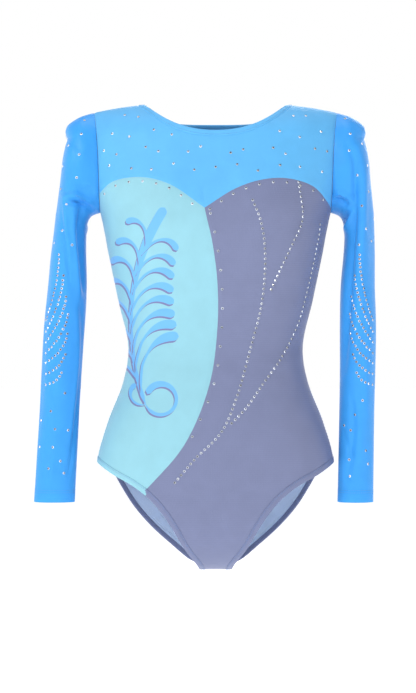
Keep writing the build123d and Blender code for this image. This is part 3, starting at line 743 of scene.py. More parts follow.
def knit(name, colour, pitch=0.0009, grid=0.0, rough=0.5, sheen=0.08):
    """Stretch knit: fine wales and courses, a slight heather, a soft sheen."""
    n = Nodes(name)
    place = n.add("ShaderNodeTexCoord")
    wales = n.bands(place.outputs["UV"], math.tau / (pitch * 20), "X")
    courses = n.bands(place.outputs["UV"], math.tau / (pitch * 26), "Y")
    weave = n.math("MULTIPLY", wales, courses)
    heather = n.noise(place.outputs["Object"], 38.0)
    fine = n.noise(place.outputs["Object"], 900.0, 2.0)
    tone = n.mix(heather, darker(colour, 0.9), darker(colour, 1.07))
    tone = n.mix(n.math("MULTIPLY", fine, 0.22), tone, darker(colour, 0.78))
    tone = n.mix(n.math("MULTIPLY", n.math("SUBTRACT", 1.0, weave), 0.1 + grid), tone, darker(colour, 0.62))
    n.join(tone, n.shader.inputs["Base Color"])
    n.look(Roughness=rough, Sheen_Weight=sheen, Sheen_Roughness=0.4, Specular_IOR_Level=0.22)
    n.bump(n.math("ADD", weave, n.math("MULTIPLY", fine, 0.5)), 0.00018, 0.55)
    return n.material


def thread(name, colour):
    """Twisted sewing thread."""
    n = Nodes(name)
    place = n.add("ShaderNodeTexCoord")
    twist = n.bands(place.outputs["Object"], 260.0, "DIAGONAL")
    n.join(n.mix(twist, darker(colour, 0.75), colour), n.shader.inputs["Base Color"])
    n.look(Roughness=0.55, Sheen_Weight=0.2)
    n.bump(twist, 0.0001, 0.4)
    return n.material


def satin_label(name, colour):
    """Woven satin with fine floats."""
    n = Nodes(name)
    place = n.add("ShaderNodeTexCoord")
    floats = n.bands(place.outputs["Object"], 420.0, "Z")
    n.join(n.mix(floats, darker(colour, 0.9), colour), n.shader.inputs["Base Color"])
    n.look(Roughness=0.32)
    n.bump(floats, 0.0001, 0.3)
    return n.material


def crystal(name, colour):
    """Foiled glass stones: bright facets, a random painted glint per stone, a dark heart of painted
    reflection.
    """
    n = Nodes(name)
    # Painted glint: each stone's random sparkle share takes it from a darker foil colour to the full one.
    painted_glint = n.add("ShaderNodeAttribute", attribute_name="sparkle")
    # Painted dark reflection: the top facet, marked heart, gets a near-black colour, lighter where the glint
    # share is high.
    heart = n.add("ShaderNodeAttribute", attribute_name="heart")
    tone = n.mix(painted_glint.outputs["Fac"], darker(colour, 0.45), colour)
    deep = n.mix(painted_glint.outputs["Fac"], (0.012, 0.015, 0.03), (0.08, 0.1, 0.16))
    tone = n.mix(heart.outputs["Fac"], tone, deep)
    n.join(tone, n.shader.inputs["Base Color"])
    n.look(Metallic=0.25, Roughness=0.14, Coat_Weight=0.9, Coat_Roughness=0.03)
    return n.material


def studio_paper(name):
    n = Nodes(name)
    place = n.add("ShaderNodeTexCoord")
    grain = n.noise(place.outputs["Object"], 3.0)
    n.join(n.mix(grain, (0.86, 0.87, 0.88), (0.9, 0.9, 0.9)), n.shader.inputs["Base Color"])
    n.look(Roughness=0.9, Emission_Color=(1.0, 1.0, 1.0, 1.0), Emission_Strength=0.62)
    return n.material


# ---------------------------------------------------------------- mesh helpers

def make_piece(name, points, faces, materials, indices=None, uvs=None, smooth=True, crease=55.0):
    """A mesh object in the frame, from millimetres."""
    mesh = bpy.data.meshes.new(name)
    mesh.from_pydata((np.asarray(points) * MM).tolist(), [], faces)
    for material in materials:
        mesh.materials.append(material)
    if indices is not None:
        mesh.polygons.foreach_set("material_index", np.asarray(indices, dtype=np.int32))
    if uvs is not None:
        layer = mesh.uv_layers.new(name="Weave")
        corners = np.empty(len(mesh.loops), dtype=np.int32)
        mesh.loops.foreach_get("vertex_index", corners)
        layer.data.foreach_set("uv", (np.asarray(uvs)[corners] * MM).astype(np.float32).ravel())
    if smooth:
        mesh.polygons.foreach_set("use_smooth", np.ones(len(mesh.polygons), dtype=bool))
        mesh.set_sharp_from_angle(angle=math.radians(crease))
    mesh.update()
    obj = bpy.data.objects.new(name, mesh)
    bpy.context.scene.collection.objects.link(obj)
    return obj


def closed_sheet(triangles, outer_index, inner_index, count):
    """Faces of a closed sheet from one side's triangles; the other side's points follow the first's."""
    once = {}
    for a, b, c in triangles:
        for edge in ((a, b), (b, c), (c, a)):
            once[edge] = True
    rim = [edge for edge in once if (edge[1], edge[0]) not in once]
    faces = [tuple(f) for f in triangles]
    faces += [(a + count, c + count, b + count) for a, b, c in triangles]
    faces += [(b, a, a + count, b + count) for a, b in rim]
    indices = list(outer_index) + [inner_index] * len(triangles) + [0] * len(rim)
    return faces, indices


def grid_faces(rows, columns, wrap=True, flip=False):
    """Quads of a sheet whose columns run round."""
    faces = []
    for r in range(rows - 1):
        for c in range(columns if wrap else columns - 1):
            d = (c + 1) % columns
            quad = (r * columns + c, r * columns + d, (r + 1) * columns + d, (r + 1) * columns + c)
            faces.append(quad[::-1] if flip else quad)
    return faces


def two_layers(rows, columns):
    """Faces of a closed sheet whose two sides are grids, one after the other."""
    count = rows * columns
    top = grid_faces(rows, columns, wrap=False)
    edges = {(f[k], f[(k + 1) % 4]): True for f in top for k in range(4)}
    faces = top + [tuple(v + count for v in reversed(f)) for f in top]
    return faces + [(b, a, a + count, b + count) for a, b in edges if (b, a) not in edges]


def ribbon(points, normals, profile, ring):
    """A closed band along a line: profile is (to the side, up) round the band."""
    points = np.asarray(points)
    normals = np.asarray(normals)
    if ring:
        along = np.roll(points, -1, axis=0) - np.roll(points, 1, axis=0)
    else:
        along = np.gradient(points, axis=0)
    along = unit(along)
    aside = unit(np.cross(normals, along))
    up = np.cross(along, aside)
    across = np.array(profile, dtype=float)
    grid = points[:, None, :] + aside[:, None, :] * across[None, :, :1] + up[:, None, :] * across[None, :, 1:]
    count, width = len(points), len(across)
    faces = []
    for r in range(count if ring else count - 1):
        q = (r + 1) % count
        for c in range(width):
            d = (c + 1) % width
            faces.append((r * width + c, q * width + c, q * width + d, r * width + d))
    if not ring:
        faces.append(tuple(range(width)))
        faces.append(tuple((count - 1) * width + c for c in reversed(range(width))))
    run = run_of(points)
    round_ = run_of(across)
    uvs = np.stack(np.broadcast_arrays(round_[None, :], run[:, None]), axis=-1).reshape(-1, 2)
    return grid.reshape(-1, 3), faces, uvs, aside


def facing_out(points, faces):
    """The faces turned so that the closed mesh has a positive volume."""
    p = np.asarray(points)
    volume = 0.0
    for f in faces:
        for k in range(1, len(f) - 1):
            volume += np.dot(p[f[0]], np.cross(p[f[k]], p[f[k + 1]]))
    return faces if volume > 0 else [tuple(reversed(f)) for f in faces]


def smoothed(points, ring, times):
    p = np.array(points, dtype=float)
    for _ in range(times):
        if ring:
            p = (np.roll(p, 1, axis=0) + 2 * p + np.roll(p, -1, axis=0)) / 4
        else:
            p[1:-1] = (p[:-2] + 2 * p[1:-1] + p[2:]) / 4
    return p


# ---------------------------------------------------------------- lines laid on the form

SIDE_S = ACROSS * math.pi / 2


def dense(line, step=0.25):
    run = run_of(line)
    marks = np.linspace(0, run[-1], int(run[-1] / step) + 2)
    return at_marks(marks, run, line)


def laid(line):
    """A front-view line on the flat pattern, held inside its edges."""
    fine = dense(line)
    s, t = to_domain(fine[:, 0], fine[:, 1])
    return np.stack([s, t], axis=1)


def at_border(st):
    return (np.abs(st[:, 0]) > SIDE_S - 0.02) | (st[:, 1] < 0.02) | (st[:, 1] > T_END - 0.02)


def evenly(st, step):
    run = run_of(st)
    marks = np.linspace(0, run[-1], max(2, int(run[-1] / step) + 1))
    return at_marks(marks, run, st)


def runs_inside(line, step=3.0):
    """The parts of a laid line that lie within the pattern, each at an even step."""
    st = laid(line)
    edge = at_border(st)
    out = []
    start = None
    for k in range(len(st)):
        if not edge[k] and start is None:
            start = max(k - 1, 0)
        if edge[k] and start is not None:
            out.append(evenly(st[start : k + 1], step))
            start = None
    if start is not None:
        out.append(evenly(st[start:], step))
    return out


def area_on_pattern(line, corners):
    return np.vstack([laid(line)[::4], np.array(corners, dtype=float)])


def seam_points(front, lines):
    """Points on the form along seams, for measuring how near cloth is to one."""
    out = []
    for line in lines:
        for st in runs_inside(line, 1.0):
            out.append(form(st[:, 0], st[:, 1], front))
    return np.vstack(out)


def nearness(points, marks):
    """The distance from each point to the nearest mark."""
    best = np.full(len(points), 1e9)
    for k in range(0, len(points), 2000):
        block = points[k : k + 2000]
        gap = ((block[:, None, :] - marks[None, ::2, :]) ** 2).sum(axis=2)
        best[k : k + 2000] = np.sqrt(gap.min(axis=1))
    return best


# ---------------------------------------------------------------- the bodice's cloth

GRID_STEP = 4.6
CLOTH = 0.9
UNDER_BAND = 6.0


def half_lines(front):
    lines = [neck_line(front, UNDER_BAND)]
    for side in (-1, 1):
        lines.append(leg_line(front, side, UNDER_BAND))
        lines.append(armhole_line(side))
    if front:
        lines += [heart_line(), centre_line()]
    else:
        lines.append(back_yoke_line())
    return lines


def half_pattern(front, leaves):
    """One half of the body as triangles on its flat pattern, cut along every seam and print edge."""
    points = []
    edges = []

    def chain(st, ring=False):
        first = len(points)
        points.extend(st.tolist())
        edges.extend((first + k, first + k + 1) for k in range(len(st) - 1))
        if ring:
            edges.append((first + len(st) - 1, first))

    corners = np.array([(-SIDE_S, 0.0), (SIDE_S, 0.0), (SIDE_S, T_END), (-SIDE_S, T_END)])
    border = np.vstack([evenly(corners[[k, (k + 1) % 4]], GRID_STEP)[:-1] for k in range(4)])
    chain(border, True)
    seams = half_lines(front)
    for line in seams:
        for st in runs_inside(line):
            chain(st)
    for leaf_edge in leaves:
        st = np.stack(to_domain(leaf_edge[:, 0], leaf_edge[:, 1]), axis=1)
        chain(st, True)
    for line in seams:
        for away in (-4.0, -2.0, 2.0, 4.0):
            for st in runs_inside(beside(line, away), 3.5):
                points.extend(st[1:-1].tolist())
    kept = np.array(points)
    s = np.arange(-SIDE_S + GRID_STEP, SIDE_S - GRID_STEP / 2, GRID_STEP)
    t = np.arange(GRID_STEP, T_END - GRID_STEP / 2, GRID_STEP)
    for k, row in enumerate(t):
        shift = GRID_STEP / 2 if k % 2 else 0.0
        fill = np.stack([s + shift, np.full(len(s), row)], axis=1)
        fill = fill[fill[:, 0] < SIDE_S - 1.5]
        gap = ((fill[:, None, :] - kept[None, :, :]) ** 2).sum(axis=2).min(axis=1)
        points.extend(fill[gap > 3.4].tolist())
    flat = [Vector((p[0], p[1])) for p in points]
    made = delaunay_2d_cdt(flat, edges, [], 0, 0.02)
    return np.array([(v.x, v.y) for v in made[0]]), [tuple(f) for f in made[2] if len(f) == 3]


def cut_cloth(front, leaves):
    """The panels of one half: name, triangles, and the print on each triangle."""
    st, triangles = half_pattern(front, [edge for _, edge in leaves])
    tri = np.array(triangles)
    a, b, c = st[tri[:, 0]], st[tri[:, 1]], st[tri[:, 2]]
    turn = (b[:, 0] - a[:, 0]) * (c[:, 1] - a[:, 1]) - (b[:, 1] - a[:, 1]) * (c[:, 0] - a[:, 0])
    tri[turn < 0] = tri[turn < 0][:, ::-1]
    tri = tri[np.abs(turn) > 1e-4]
    middle = st[tri].mean(axis=1)
    far = SIDE_S + 60
    above_all = T_END + 60
    sky = ((SIDE_S * 0.9, above_all), (-SIDE_S * 0.9, above_all))
    neck = area_on_pattern(neck_line(front, UNDER_BAND), sky)
    out = inside(middle, neck)
    for side in (-1, 1):
        leg = leg_line(front, side, UNDER_BAND)
        top = float(t_of(leg[0][1]))
        out |= inside(middle, area_on_pattern(leg, ((side * 10, -60), (side * far, -60), (side * far, top))))
        hole = armhole_line(side)
        low = float(t_of(hole[0][1]))
        out |= inside(middle, area_on_pattern(hole, ((side * far, above_all), (side * far, low))))
    seam = heart_line() if front else back_yoke_line()
    seam_st = laid(seam)[::4]
    over = [(far, above_all), (-far, above_all), (-far, seam_st[0, 1])]
    above = inside(middle, np.vstack([seam_st, over]))
    if front:
        centre = laid(centre_line())[::4]
        right = inside(middle, np.vstack([centre, [(-far, -60), (-far, above_all)]]))
        names = (
            ("front_yoke", above),
            ("front_right_panel", ~above & right),
            ("front_left_panel", ~above & ~right),
        )
    else:
        names = (("back_yoke", above), ("back_body_panel", ~above))
    plain = form(middle[:, 0], middle[:, 1], front)[:, [0, 2]]
    printed = np.zeros(len(tri), dtype=int)
    for paint, edge in leaves:
        printed[inside(plain, edge)] = paint
    return st, tri, printed, [(name, mask & ~out) for name, mask in names]


def bodice_cloth(front, materials, leaves=()):
    """Closed panels for one half, dipping at their seams, with slight pulls in the cloth."""
    st, tri, printed, parts = cut_cloth(front, list(leaves))
    seams = seam_points(front, half_lines(front))
    base = form(st[:, 0], st[:, 1], front)
    normal = form_normal(st[:, 0], st[:, 1], front)
    near = nearness(base, seams)
    side = (SIDE_S - np.abs(st[:, 0])) * 0.9
    near = np.minimum(near, np.maximum(side, 0))
    dip = 0.55 * np.exp(-((near / 2.0) ** 2))
    swell_beside = 0.18 * np.exp(-(((near - 4.5) / 2.2) ** 2))
    pulls = fold_height(base[:, 0], base[:, 2], PULLS) if front else np.zeros(len(base))
    calm = np.clip(near / 8, 0, 1)
    ripple = 0.12 * np.sin(base[:, 0] * 0.21 + 1.3 * np.sin(base[:, 2] * 0.05)) * np.sin(base[:, 2] * 0.083)
    up = pulls * calm + ripple * calm + swell_beside - dip
    outer = base + normal * up[:, None]
    inner = base + normal * (np.minimum(up, 0.1) - CLOTH)[:, None]
    made = {}
    for name, mask in parts:
        chosen = tri[mask]
        used, local = np.unique(chosen, return_inverse=True)
        local = local.reshape(chosen.shape)
        if not front:
            local = local[:, ::-1]
        cloth, inside_cloth = materials[name]
        prints = materials["print"] if name in ("front_left_panel", "front_right_panel") else ()
        indices = np.zeros(len(chosen), dtype=int)
        if prints:
            indices = np.where(printed[mask] > 0, printed[mask] + 1, 0)
        faces, indices = closed_sheet(local.tolist(), indices, 1, len(used))
        points = np.vstack([outer[used], inner[used]])
        uvs = np.vstack([st[used], st[used]])
        obj = make_piece(name + "_cloth", points, faces, (cloth, inside_cloth, *prints), indices, uvs)
        made[name] = obj
    return made


def hole_ring(kind, side=1, inset=4.5, count=260):
    """A closed line round an opening, with normals, from its front and back lines."""
    halves = []
    for front in (True, False):
        line = neck_line(front, inset) if kind == "neck" else leg_line(front, side, inset)
        runs = runs_inside(line, 1.0)
        halves.append(max(runs, key=len))
    front_st, back_st = halves
    for end in (0, -1):
        joint = (front_st[end] + back_st[end]) / 2
        for st in (front_st, back_st):
            far = np.linalg.norm(st - st[end], axis=1)
            st += (joint - st[end]) * np.exp(-((far / 14) ** 2))[:, None]
    out = []
    normals = []
    for st, front in ((front_st, True), (back_st[::-1], False)):
        out.append(form(st[:, 0], st[:, 1], front)[:-1])
        normals.append(form_normal(st[:, 0], st[:, 1], front)[:-1])
    points = np.vstack(out)
    normal = np.vstack(normals)
    gap = np.linalg.norm(np.roll(points, -1, axis=0) - points, axis=1)
    points, normal = points[gap > 0.05], normal[gap > 0.05]
    loop = np.vstack([points, points[:1]])
    run = run_of(loop)
    marks = np.linspace(0, run[-1], count, endpoint=False)
    looped = np.vstack([normal, normal[:1]])
    points = at_marks(marks, run, loop)
    normal = at_marks(marks, run, looped)
    points = smoothed(points, True, 12)
    normal = smoothed(normal, True, 14)
    return points, unit(normal)


BAND = (
    (-4.5, -0.5), (-4.35, 0.25), (-3.8, 0.72), (-2.6, 0.9), (-0.8, 0.95), (1.0, 0.9), (2.0, 0.72),
    (2.8, 0.85), (3.8, 0.72), (4.35, 0.35), (4.55, -0.3), (4.2, -1.2), (2.6, -1.6), (0.0, -1.65),
    (-2.6, -1.6), (-4.1, -1.25),
)


def band_side(points, normals):
    """Which way across a ring its cloth lies: 1 or -1 along normal x line."""
    along = np.roll(points, -1, axis=0) - np.roll(points, 1, axis=0)
    aside = unit(np.cross(normals, along))
    centre = points.mean(axis=0)
    grown = np.linalg.norm(points + aside * 4 - centre, axis=1).mean()
    shrunk = np.linalg.norm(points - aside * 4 - centre, axis=1).mean()
    return 1 if grown > shrunk else -1


def hem_band(name, kind, side, materials, paint=None):
    points, normals = hole_ring(kind, side)
    way = band_side(points, normals)
    profile = [(way * a, b) for a, b in BAND]
    grid, faces, uvs, aside = ribbon(points, normals, profile, True)
    faces = facing_out(grid, faces)
    indices = None
    if paint is not None:
        indices = [paint(grid[list(f)].mean(axis=0)) for f in faces]
    return make_piece(name, grid, faces, materials, indices, uvs, crease=70.0)


def beside_ring(kind, side, away, up, pitch):
    """Places and directions for stitches along a hem, away from its middle line."""
    points, normals = hole_ring(kind, side, count=900)
    way = band_side(points, normals)
    along = np.roll(points, -1, axis=0) - np.roll(points, 1, axis=0)
    along = unit(along)
    aside = np.cross(normals, along)
    line = points + aside * way * away + normals * up
    loop = np.vstack([line, line[:1]])
    run = run_of(loop)
    marks = np.arange(0, run[-1] - pitch / 2, pitch)
    pick = np.clip(np.searchsorted(run, marks), 0, len(line) - 1)
    return line[pick], normals[pick], along[pick]


# ---------------------------------------------------------------- sleeves

SLEEVE_TURNS, SLEEVE_STEPS = 96, 176


def sleeve_grid(side, lift):
    turn = np.linspace(0, 2 * np.pi, SLEEVE_TURNS, endpoint=False)
    starts = seam_place(turn, side)
    share = np.linspace(0, 1, SLEEVE_STEPS) ** 0.92
    last = 12.97
    at = starts[None, :] + (last - starts[None, :]) * share[:, None]
    around = np.broadcast_to(turn, at.shape)
    p = sleeve_surface(at, around, side)
    n = outward(sewn_sleeve, at, around, side)
    return at, around, p + n * lift


def sleeve_cloth(side, outside, inside_cloth):
    at, turn, outer = sleeve_grid(side, 0.0)
    inner = sleeve_grid(side, -CLOTH)[2]
    rows, columns = at.shape
    count = rows * columns
    shell = grid_faces(rows, columns)
    points = np.vstack([outer.reshape(-1, 3), inner.reshape(-1, 3)])
    out_faces = shell
    in_faces = [tuple(v + count for v in reversed(f)) for f in shell]
    rim = []
    for c in range(columns):
        d = (c + 1) % columns
        rim.append((d, c, c + count, d + count))
        low = (rows - 1) * columns
        rim.append((low + c, low + d, low + d + count, low + c + count))
    faces = out_faces + in_faces + rim
    indices = [0] * len(out_faces) + [1] * len(in_faces) + [0] * len(rim)
    corner = outer[40, 0]
    normal = np.cross(outer[40, 1] - corner, outer[41, 0] - corner)
    if np.dot(normal, corner - outer[40].mean(axis=0)) < 0:
        faces = [tuple(reversed(f)) for f in faces]
    length = run_of(outer.mean(axis=1))
    u = turn / (2 * np.pi) * 230.0
    uvs = np.stack([u, np.broadcast_to(length[:, None], u.shape)], axis=-1).reshape(-1, 2)
    both = (outside, inside_cloth)
    return make_piece(side + "_sleeve_cloth", points, faces, both, indices, np.vstack([uvs, uvs]))


# round the cuff band: share of the way down it, and height above the sleeve
CUFF = (
    (0.02, -0.15), (0.1, 0.12), (0.5, 0.16), (0.9, 0.2), (0.985, 0.12), (1.0, -0.35), (0.985, -1.1),
    (0.9, -1.5), (0.5, -1.6), (0.06, -1.6), (0.02, -1.3),
)


def cuff_point(at, turn, side, lift):
    p = sleeve_surface(at, turn, side)
    n = outward(sewn_sleeve, at, turn, side)
    return p + n * np.asarray(lift)[..., None]


def cuff_band(side, materials):
    turn = np.linspace(0, 2 * np.pi, SLEEVE_TURNS, endpoint=False)
    high, low = 12.62, 13.0
    rows = []
    for share, lift in CUFF:
        at = np.full(turn.shape, high + (low - high) * share)
        rows.append(cuff_point(at, turn, side, np.full(turn.shape, lift)))
    grid = np.array(rows)
    faces = []
    width = len(CUFF)
    for r in range(width):
        q = (r + 1) % width
        for c in range(SLEEVE_TURNS):
            d = (c + 1) % SLEEVE_TURNS
            here, below = r * SLEEVE_TURNS, q * SLEEVE_TURNS
            faces.append((here + c, here + d, below + d, below + c))
    points = grid.reshape(-1, 3)
    faces = facing_out(points, faces)
    u = np.broadcast_to(turn / (2 * np.pi) * 150.0, grid.shape[:2])
    v = np.broadcast_to(np.arange(width)[:, None] * 3.0, grid.shape[:2])
    uvs = np.stack([u, v], axis=-1).reshape(-1, 2)
    return make_piece(side + "_cuff_band", points, faces, materials, None, uvs, crease=70.0)


def round_sleeve(side, at_value, lift, pitch):
    """Places and directions for stitches round a sleeve."""
    turn = np.linspace(0, 2 * np.pi, 600, endpoint=False)
    at = np.full(turn.shape, at_value)
    p = sleeve_surface(at, turn, side)
    n = outward(sewn_sleeve, at, turn, side)
    line = p + n * lift
    loop = np.vstack([line, line[:1]])
    run = run_of(loop)
    pick = np.clip(np.searchsorted(run, np.arange(0, run[-1] - pitch / 2, pitch)), 0, len(line) - 1)
    along = np.roll(line, -1, axis=0) - np.roll(line, 1, axis=0)
    along = unit(along)
    return line[pick], n[pick], along[pick]


# ---------------------------------------------------------------- stones and stitches by geometry nodes

def cloud(name, spots, away, along):
    """Loose points with directions, in metres, for a node tree to set things on."""
    mesh = bpy.data.meshes.new(name)
    mesh.from_pydata((np.asarray(spots) * MM).tolist(), [], [])
    for key, value in (("away", away), ("along", along)):
        layer = mesh.attributes.new(key, "FLOAT_VECTOR", "POINT")
        layer.data.foreach_set("vector", np.asarray(value, dtype=np.float32).ravel())
    obj = bpy.data.objects.new(name, mesh)
    bpy.context.scene.collection.objects.link(obj)
    return obj


class Tree:
    """A short way to wire a geometry node group."""

    def __init__(self, name, inputs):
        self.group = bpy.data.node_groups.new(name, "GeometryNodeTree")
        face = self.group.interface
        face.new_socket("Geometry", in_out="INPUT", socket_type="NodeSocketGeometry")
        self.keys = {}
        for label, kind, value, text in inputs:
            socket = face.new_socket(label, in_out="INPUT", socket_type=kind, description=text)
            if value is not None:
                socket.default_value = value
            self.keys[label] = socket.identifier
        face.new_socket("Geometry", in_out="OUTPUT", socket_type="NodeSocketGeometry")
        self.start = self.add("NodeGroupInput")
        self.end = self.add("NodeGroupOutput")

    def add(self, kind, **values):
        node = self.group.nodes.new(kind)
        for key, value in values.items():
            setattr(node, key, value)
        return node

    def join(self, source, target):
        self.group.links.new(source, target)

    def put(self, kind, feeds, **values):
        """A node whose inputs are fed by sockets or set to values."""
        node = self.add(kind, **values)
        for label, feed in feeds.items():
            if isinstance(feed, bpy.types.NodeSocket):
                self.join(feed, node.inputs[label])
            else:
                node.inputs[label].default_value = feed
        return node

    def given(self, label):
        return self.start.outputs[label]

    def times(self, a, factor):
        node = self.add("ShaderNodeMath", operation="MULTIPLY")
        self.join(a, node.inputs[0])
        node.inputs[1].default_value = factor
        return node.outputs[0]

    def facing(self):
        """The rotation that stands a thing up along away and lays it along along."""
        away, along = (
            self.put("GeometryNodeInputNamedAttribute", {"Name": name}, data_type="FLOAT_VECTOR")
            for name in ("away", "along")
        )
        stand = self.add("FunctionNodeAlignRotationToVector", axis="Z")
        self.join(away.outputs["Attribute"], stand.inputs["Vector"])
        lie = self.add("FunctionNodeAlignRotationToVector", axis="X", pivot_axis="Z")
        self.join(stand.outputs["Rotation"], lie.inputs["Rotation"])
        self.join(along.outputs["Attribute"], lie.inputs["Vector"])
        return lie.outputs["Rotation"]

    def on_points(self, shape):
        """The shape standing on every given point."""
        feeds = {"Points": self.given("Geometry"), "Instance": shape, "Rotation": self.facing()}
        return self.put("GeometryNodeInstanceOnPoints", feeds).outputs["Instances"]

    def finished(self, instances):
        """The tree with the instances made into one mesh of its material."""
        real = self.put("GeometryNodeRealizeInstances", {"Geometry": instances})
        feeds = {"Geometry": real.outputs["Geometry"], "Material": self.given("Material")}
        paint = self.put("GeometryNodeSetMaterial", feeds)
        self.join(paint.outputs["Geometry"], self.end.inputs["Geometry"])
        return self


def stone_tree():
    """Sets an eight-sided flat-backed stone on every point."""
    tree = Tree("Set stones", (
        ("Stone Width", "NodeSocketFloat", 0.0033, "Width of a stone across its girdle"),
        ("Stone Height", "NodeSocketFloat", 0.0013, "Height of a stone above the cloth"),
        # the seed sets each stone's random share of painted glint
        ("Seed", "NodeSocketInt", 7, "Seed of the small differences between stones"),
        ("Material", "NodeSocketMaterial", None, "Finish of the stones"),
    ))
    width, height = tree.given("Stone Width"), tree.given("Stone Height")

    def ring(top, bottom, depth):
        sizes = {
            "Vertices": 8,
            "Radius Top": tree.times(width, top),
            "Radius Bottom": tree.times(width, bottom),
            "Depth": tree.times(height, depth),
        }
        return tree.put("GeometryNodeMeshCone", sizes, fill_type="NGON")

    girdle, crown = ring(0.5, 0.48, 0.3), ring(0.27, 0.5, 0.7)
    lift = tree.put("ShaderNodeCombineXYZ", {"Z": tree.times(height, 0.3)}).outputs["Vector"]
    raised = tree.put("GeometryNodeTransform", {"Geometry": crown.outputs["Mesh"], "Translation": lift})
    # the top facet is marked heart for the painted dark reflection in the stone's material
    heart = {
        "Geometry": raised.outputs["Geometry"],
        "Selection": crown.outputs["Top"],
        "Name": "heart",
        "Value": 1.0,
    }
    marked = tree.put("GeometryNodeStoreNamedAttribute", heart, data_type="FLOAT", domain="FACE")
    whole = tree.put("GeometryNodeJoinGeometry", {"Geometry": girdle.outputs["Mesh"]})
    tree.join(marked.outputs["Geometry"], whole.inputs["Geometry"])
    placed = tree.on_points(whole.outputs["Geometry"])
    # a random share per stone, stored as sparkle, for the painted glint in the stone's material
    sparkle = tree.put("FunctionNodeRandomValue", {"Seed": tree.given("Seed")}, data_type="FLOAT")
    shine = {"Geometry": placed, "Name": "sparkle", "Value": sparkle.outputs[1]}
    store = tree.put("GeometryNodeStoreNamedAttribute", shine, data_type="FLOAT", domain="INSTANCE")
    return tree.finished(store.outputs["Geometry"])


def stitch_tree():
    """Lays a short rounded stitch on every point."""
    tree = Tree("Sew stitches", (
        ("Stitch Length", "NodeSocketFloat", 0.0021, "Length of one stitch"),
        ("Thread Width", "NodeSocketFloat", 0.00042, "Width of the thread"),
        ("Material", "NodeSocketMaterial", None, "Finish of the thread"),
    ))
    length, width = tree.given("Stitch Length"), tree.given("Thread Width")
    bead = tree.put("GeometryNodeMeshUVSphere", {"Segments": 6, "Rings": 4, "Radius": 0.5})
    size = tree.put("ShaderNodeCombineXYZ", {"X": length, "Y": width, "Z": width})
    feeds = {"Geometry": bead.outputs["Mesh"], "Scale": size.outputs["Vector"]}
    shape = tree.put("GeometryNodeTransform", feeds)
    return tree.finished(tree.on_points(shape.outputs["Geometry"]))


def grown(name, spots, away, along, tree, material, **values):
    """The plain mesh that a node tree makes on the given points."""
    source = cloud(name + "_points", spots, away, along)
    modifier = source.modifiers.new("Grow", "NODES")
    modifier.node_group = tree.group
    modifier[tree.keys["Material"]] = material
    for label, value in values.items():
        modifier[tree.keys[label.replace("_", " ")]] = value
    depsgraph = bpy.context.evaluated_depsgraph_get()
    made = source.evaluated_get(depsgraph)
    mesh = bpy.data.meshes.new_from_object(made, preserve_all_data_layers=True, depsgraph=depsgraph)
    mesh.name = name
    if not mesh.materials:
        mesh.materials.append(material)
    obj = bpy.data.objects.new(name, mesh)
    bpy.context.scene.collection.objects.link(obj)
    source.modifiers.remove(modifier)
    bpy.data.objects.remove(source, do_unlink=True)
    return obj


def stones_on_body(spots):
    """Places, outward and upward directions of stones on the front."""
    spots = np.asarray(spots, dtype=float)
    s, t = to_domain(spots[:, 0], spots[:, 1])
    base = form(s, t, True)
    away = form_normal(s, t, True)
    lift = fold_height(base[:, 0], base[:, 2], PULLS)
    along = np.cross(away, np.array([0.2, 0.0, 1.0]))
    return base + away * (0.1 + np.maximum(lift, 0))[:, None], away, along


def stones_on_sleeve(spots, side):
    place = on_sleeve(spots, side)
    at, turn = place[:, 0], place[:, 1]
    p = sleeve_surface(at, turn, side)
    away = outward(sleeve_surface, at, turn, side)
    return p + away * 0.05, away, np.cross(away, np.array([0.3, 0.1, 1.0]))


# ---------------------------------------------------------------- what a user may change

def colour_prop(name, description, default):
    return bpy.props.FloatVectorProperty(
        name=name, description=description, default=default, size=3, min=0.0, max=1.0, subtype="COLOR"
    )


class LeotardColours(bpy.types.PropertyGroup):
    yoke: colour_prop("Yoke blue", "Knit of the yoke, back yoke and neck band", rgb(97, 181, 236))
    aqua: colour_prop("Aqua", "Knit of the front right panel", rgb(146, 201, 215))
    grey: colour_prop("Grey mauve", "Knit of the front left panel and back body", rgb(122, 129, 162))
    sleeve: colour_prop("Sleeve blue", "Knit of the sleeves", rgb(62, 160, 240))
    lining: colour_prop("Lining", "Inside of the cloth and the lining", rgb(206, 222, 245))
    print_light: colour_prop("Print blue", "Lit side of the printed scroll", rgb(112, 182, 232))
    print_shadow: colour_prop("Print mauve", "Shaded side of the printed scroll", rgb(122, 124, 170))
    crystal: colour_prop("Crystal", "Foil colour of the stones", rgb(246, 250, 255))
    thread: colour_prop("Thread", "Sewing thread", rgb(96, 138, 196))


def length_prop(name, description, default, low, high):
    return bpy.props.FloatProperty(
        name=name, description=description, default=default, min=low, max=high, unit="LENGTH"
    )


class LeotardTrims(bpy.types.PropertyGroup):
    stone_width: length_prop("Stone width", "Width of a stone across its girdle", 0.0038, 0.001, 0.01)
    stone_height: length_prop("Stone height", "Height of a stone above the cloth", 0.0013, 0.0005, 0.005)
    row_pitch: length_prop("Row pitch", "Step between stones in the close rows", 0.0068, 0.004, 0.02)
    stitch_length: length_prop("Stitch length", "Length of one stitch", 0.0021, 0.001, 0.006)
    stitch_pitch: length_prop("Stitch pitch", "Step from stitch to stitch", 0.0029, 0.0015, 0.01)


# how each finish is made: the maker, its colour or the property that holds it, and its other values
FINISH_ROWS = {
    "yoke_blue_knit": (knit, "yoke", {}),
    "aqua_knit": (knit, "aqua", {}),
    "grey_mauve_knit": (knit, "grey", {"pitch": 0.0022, "grid": 0.1}),
    "sleeve_blue_knit": (knit, "sleeve", {"rough": 0.4}),
    "lining_knit": (knit, "lining", {"rough": 0.6, "sheen": 0.1}),
    "print_blue_knit": (knit, "print_light", {"rough": 0.44}),
    "print_mauve_knit": (knit, "print_shadow", {"rough": 0.46}),
    "sewing_thread": (thread, "thread", {}),
    "label_satin": (satin_label, rgb(238, 240, 244), {}),
    "foiled_crystal": (crystal, "crystal", {}),
}
FINISHES = {}


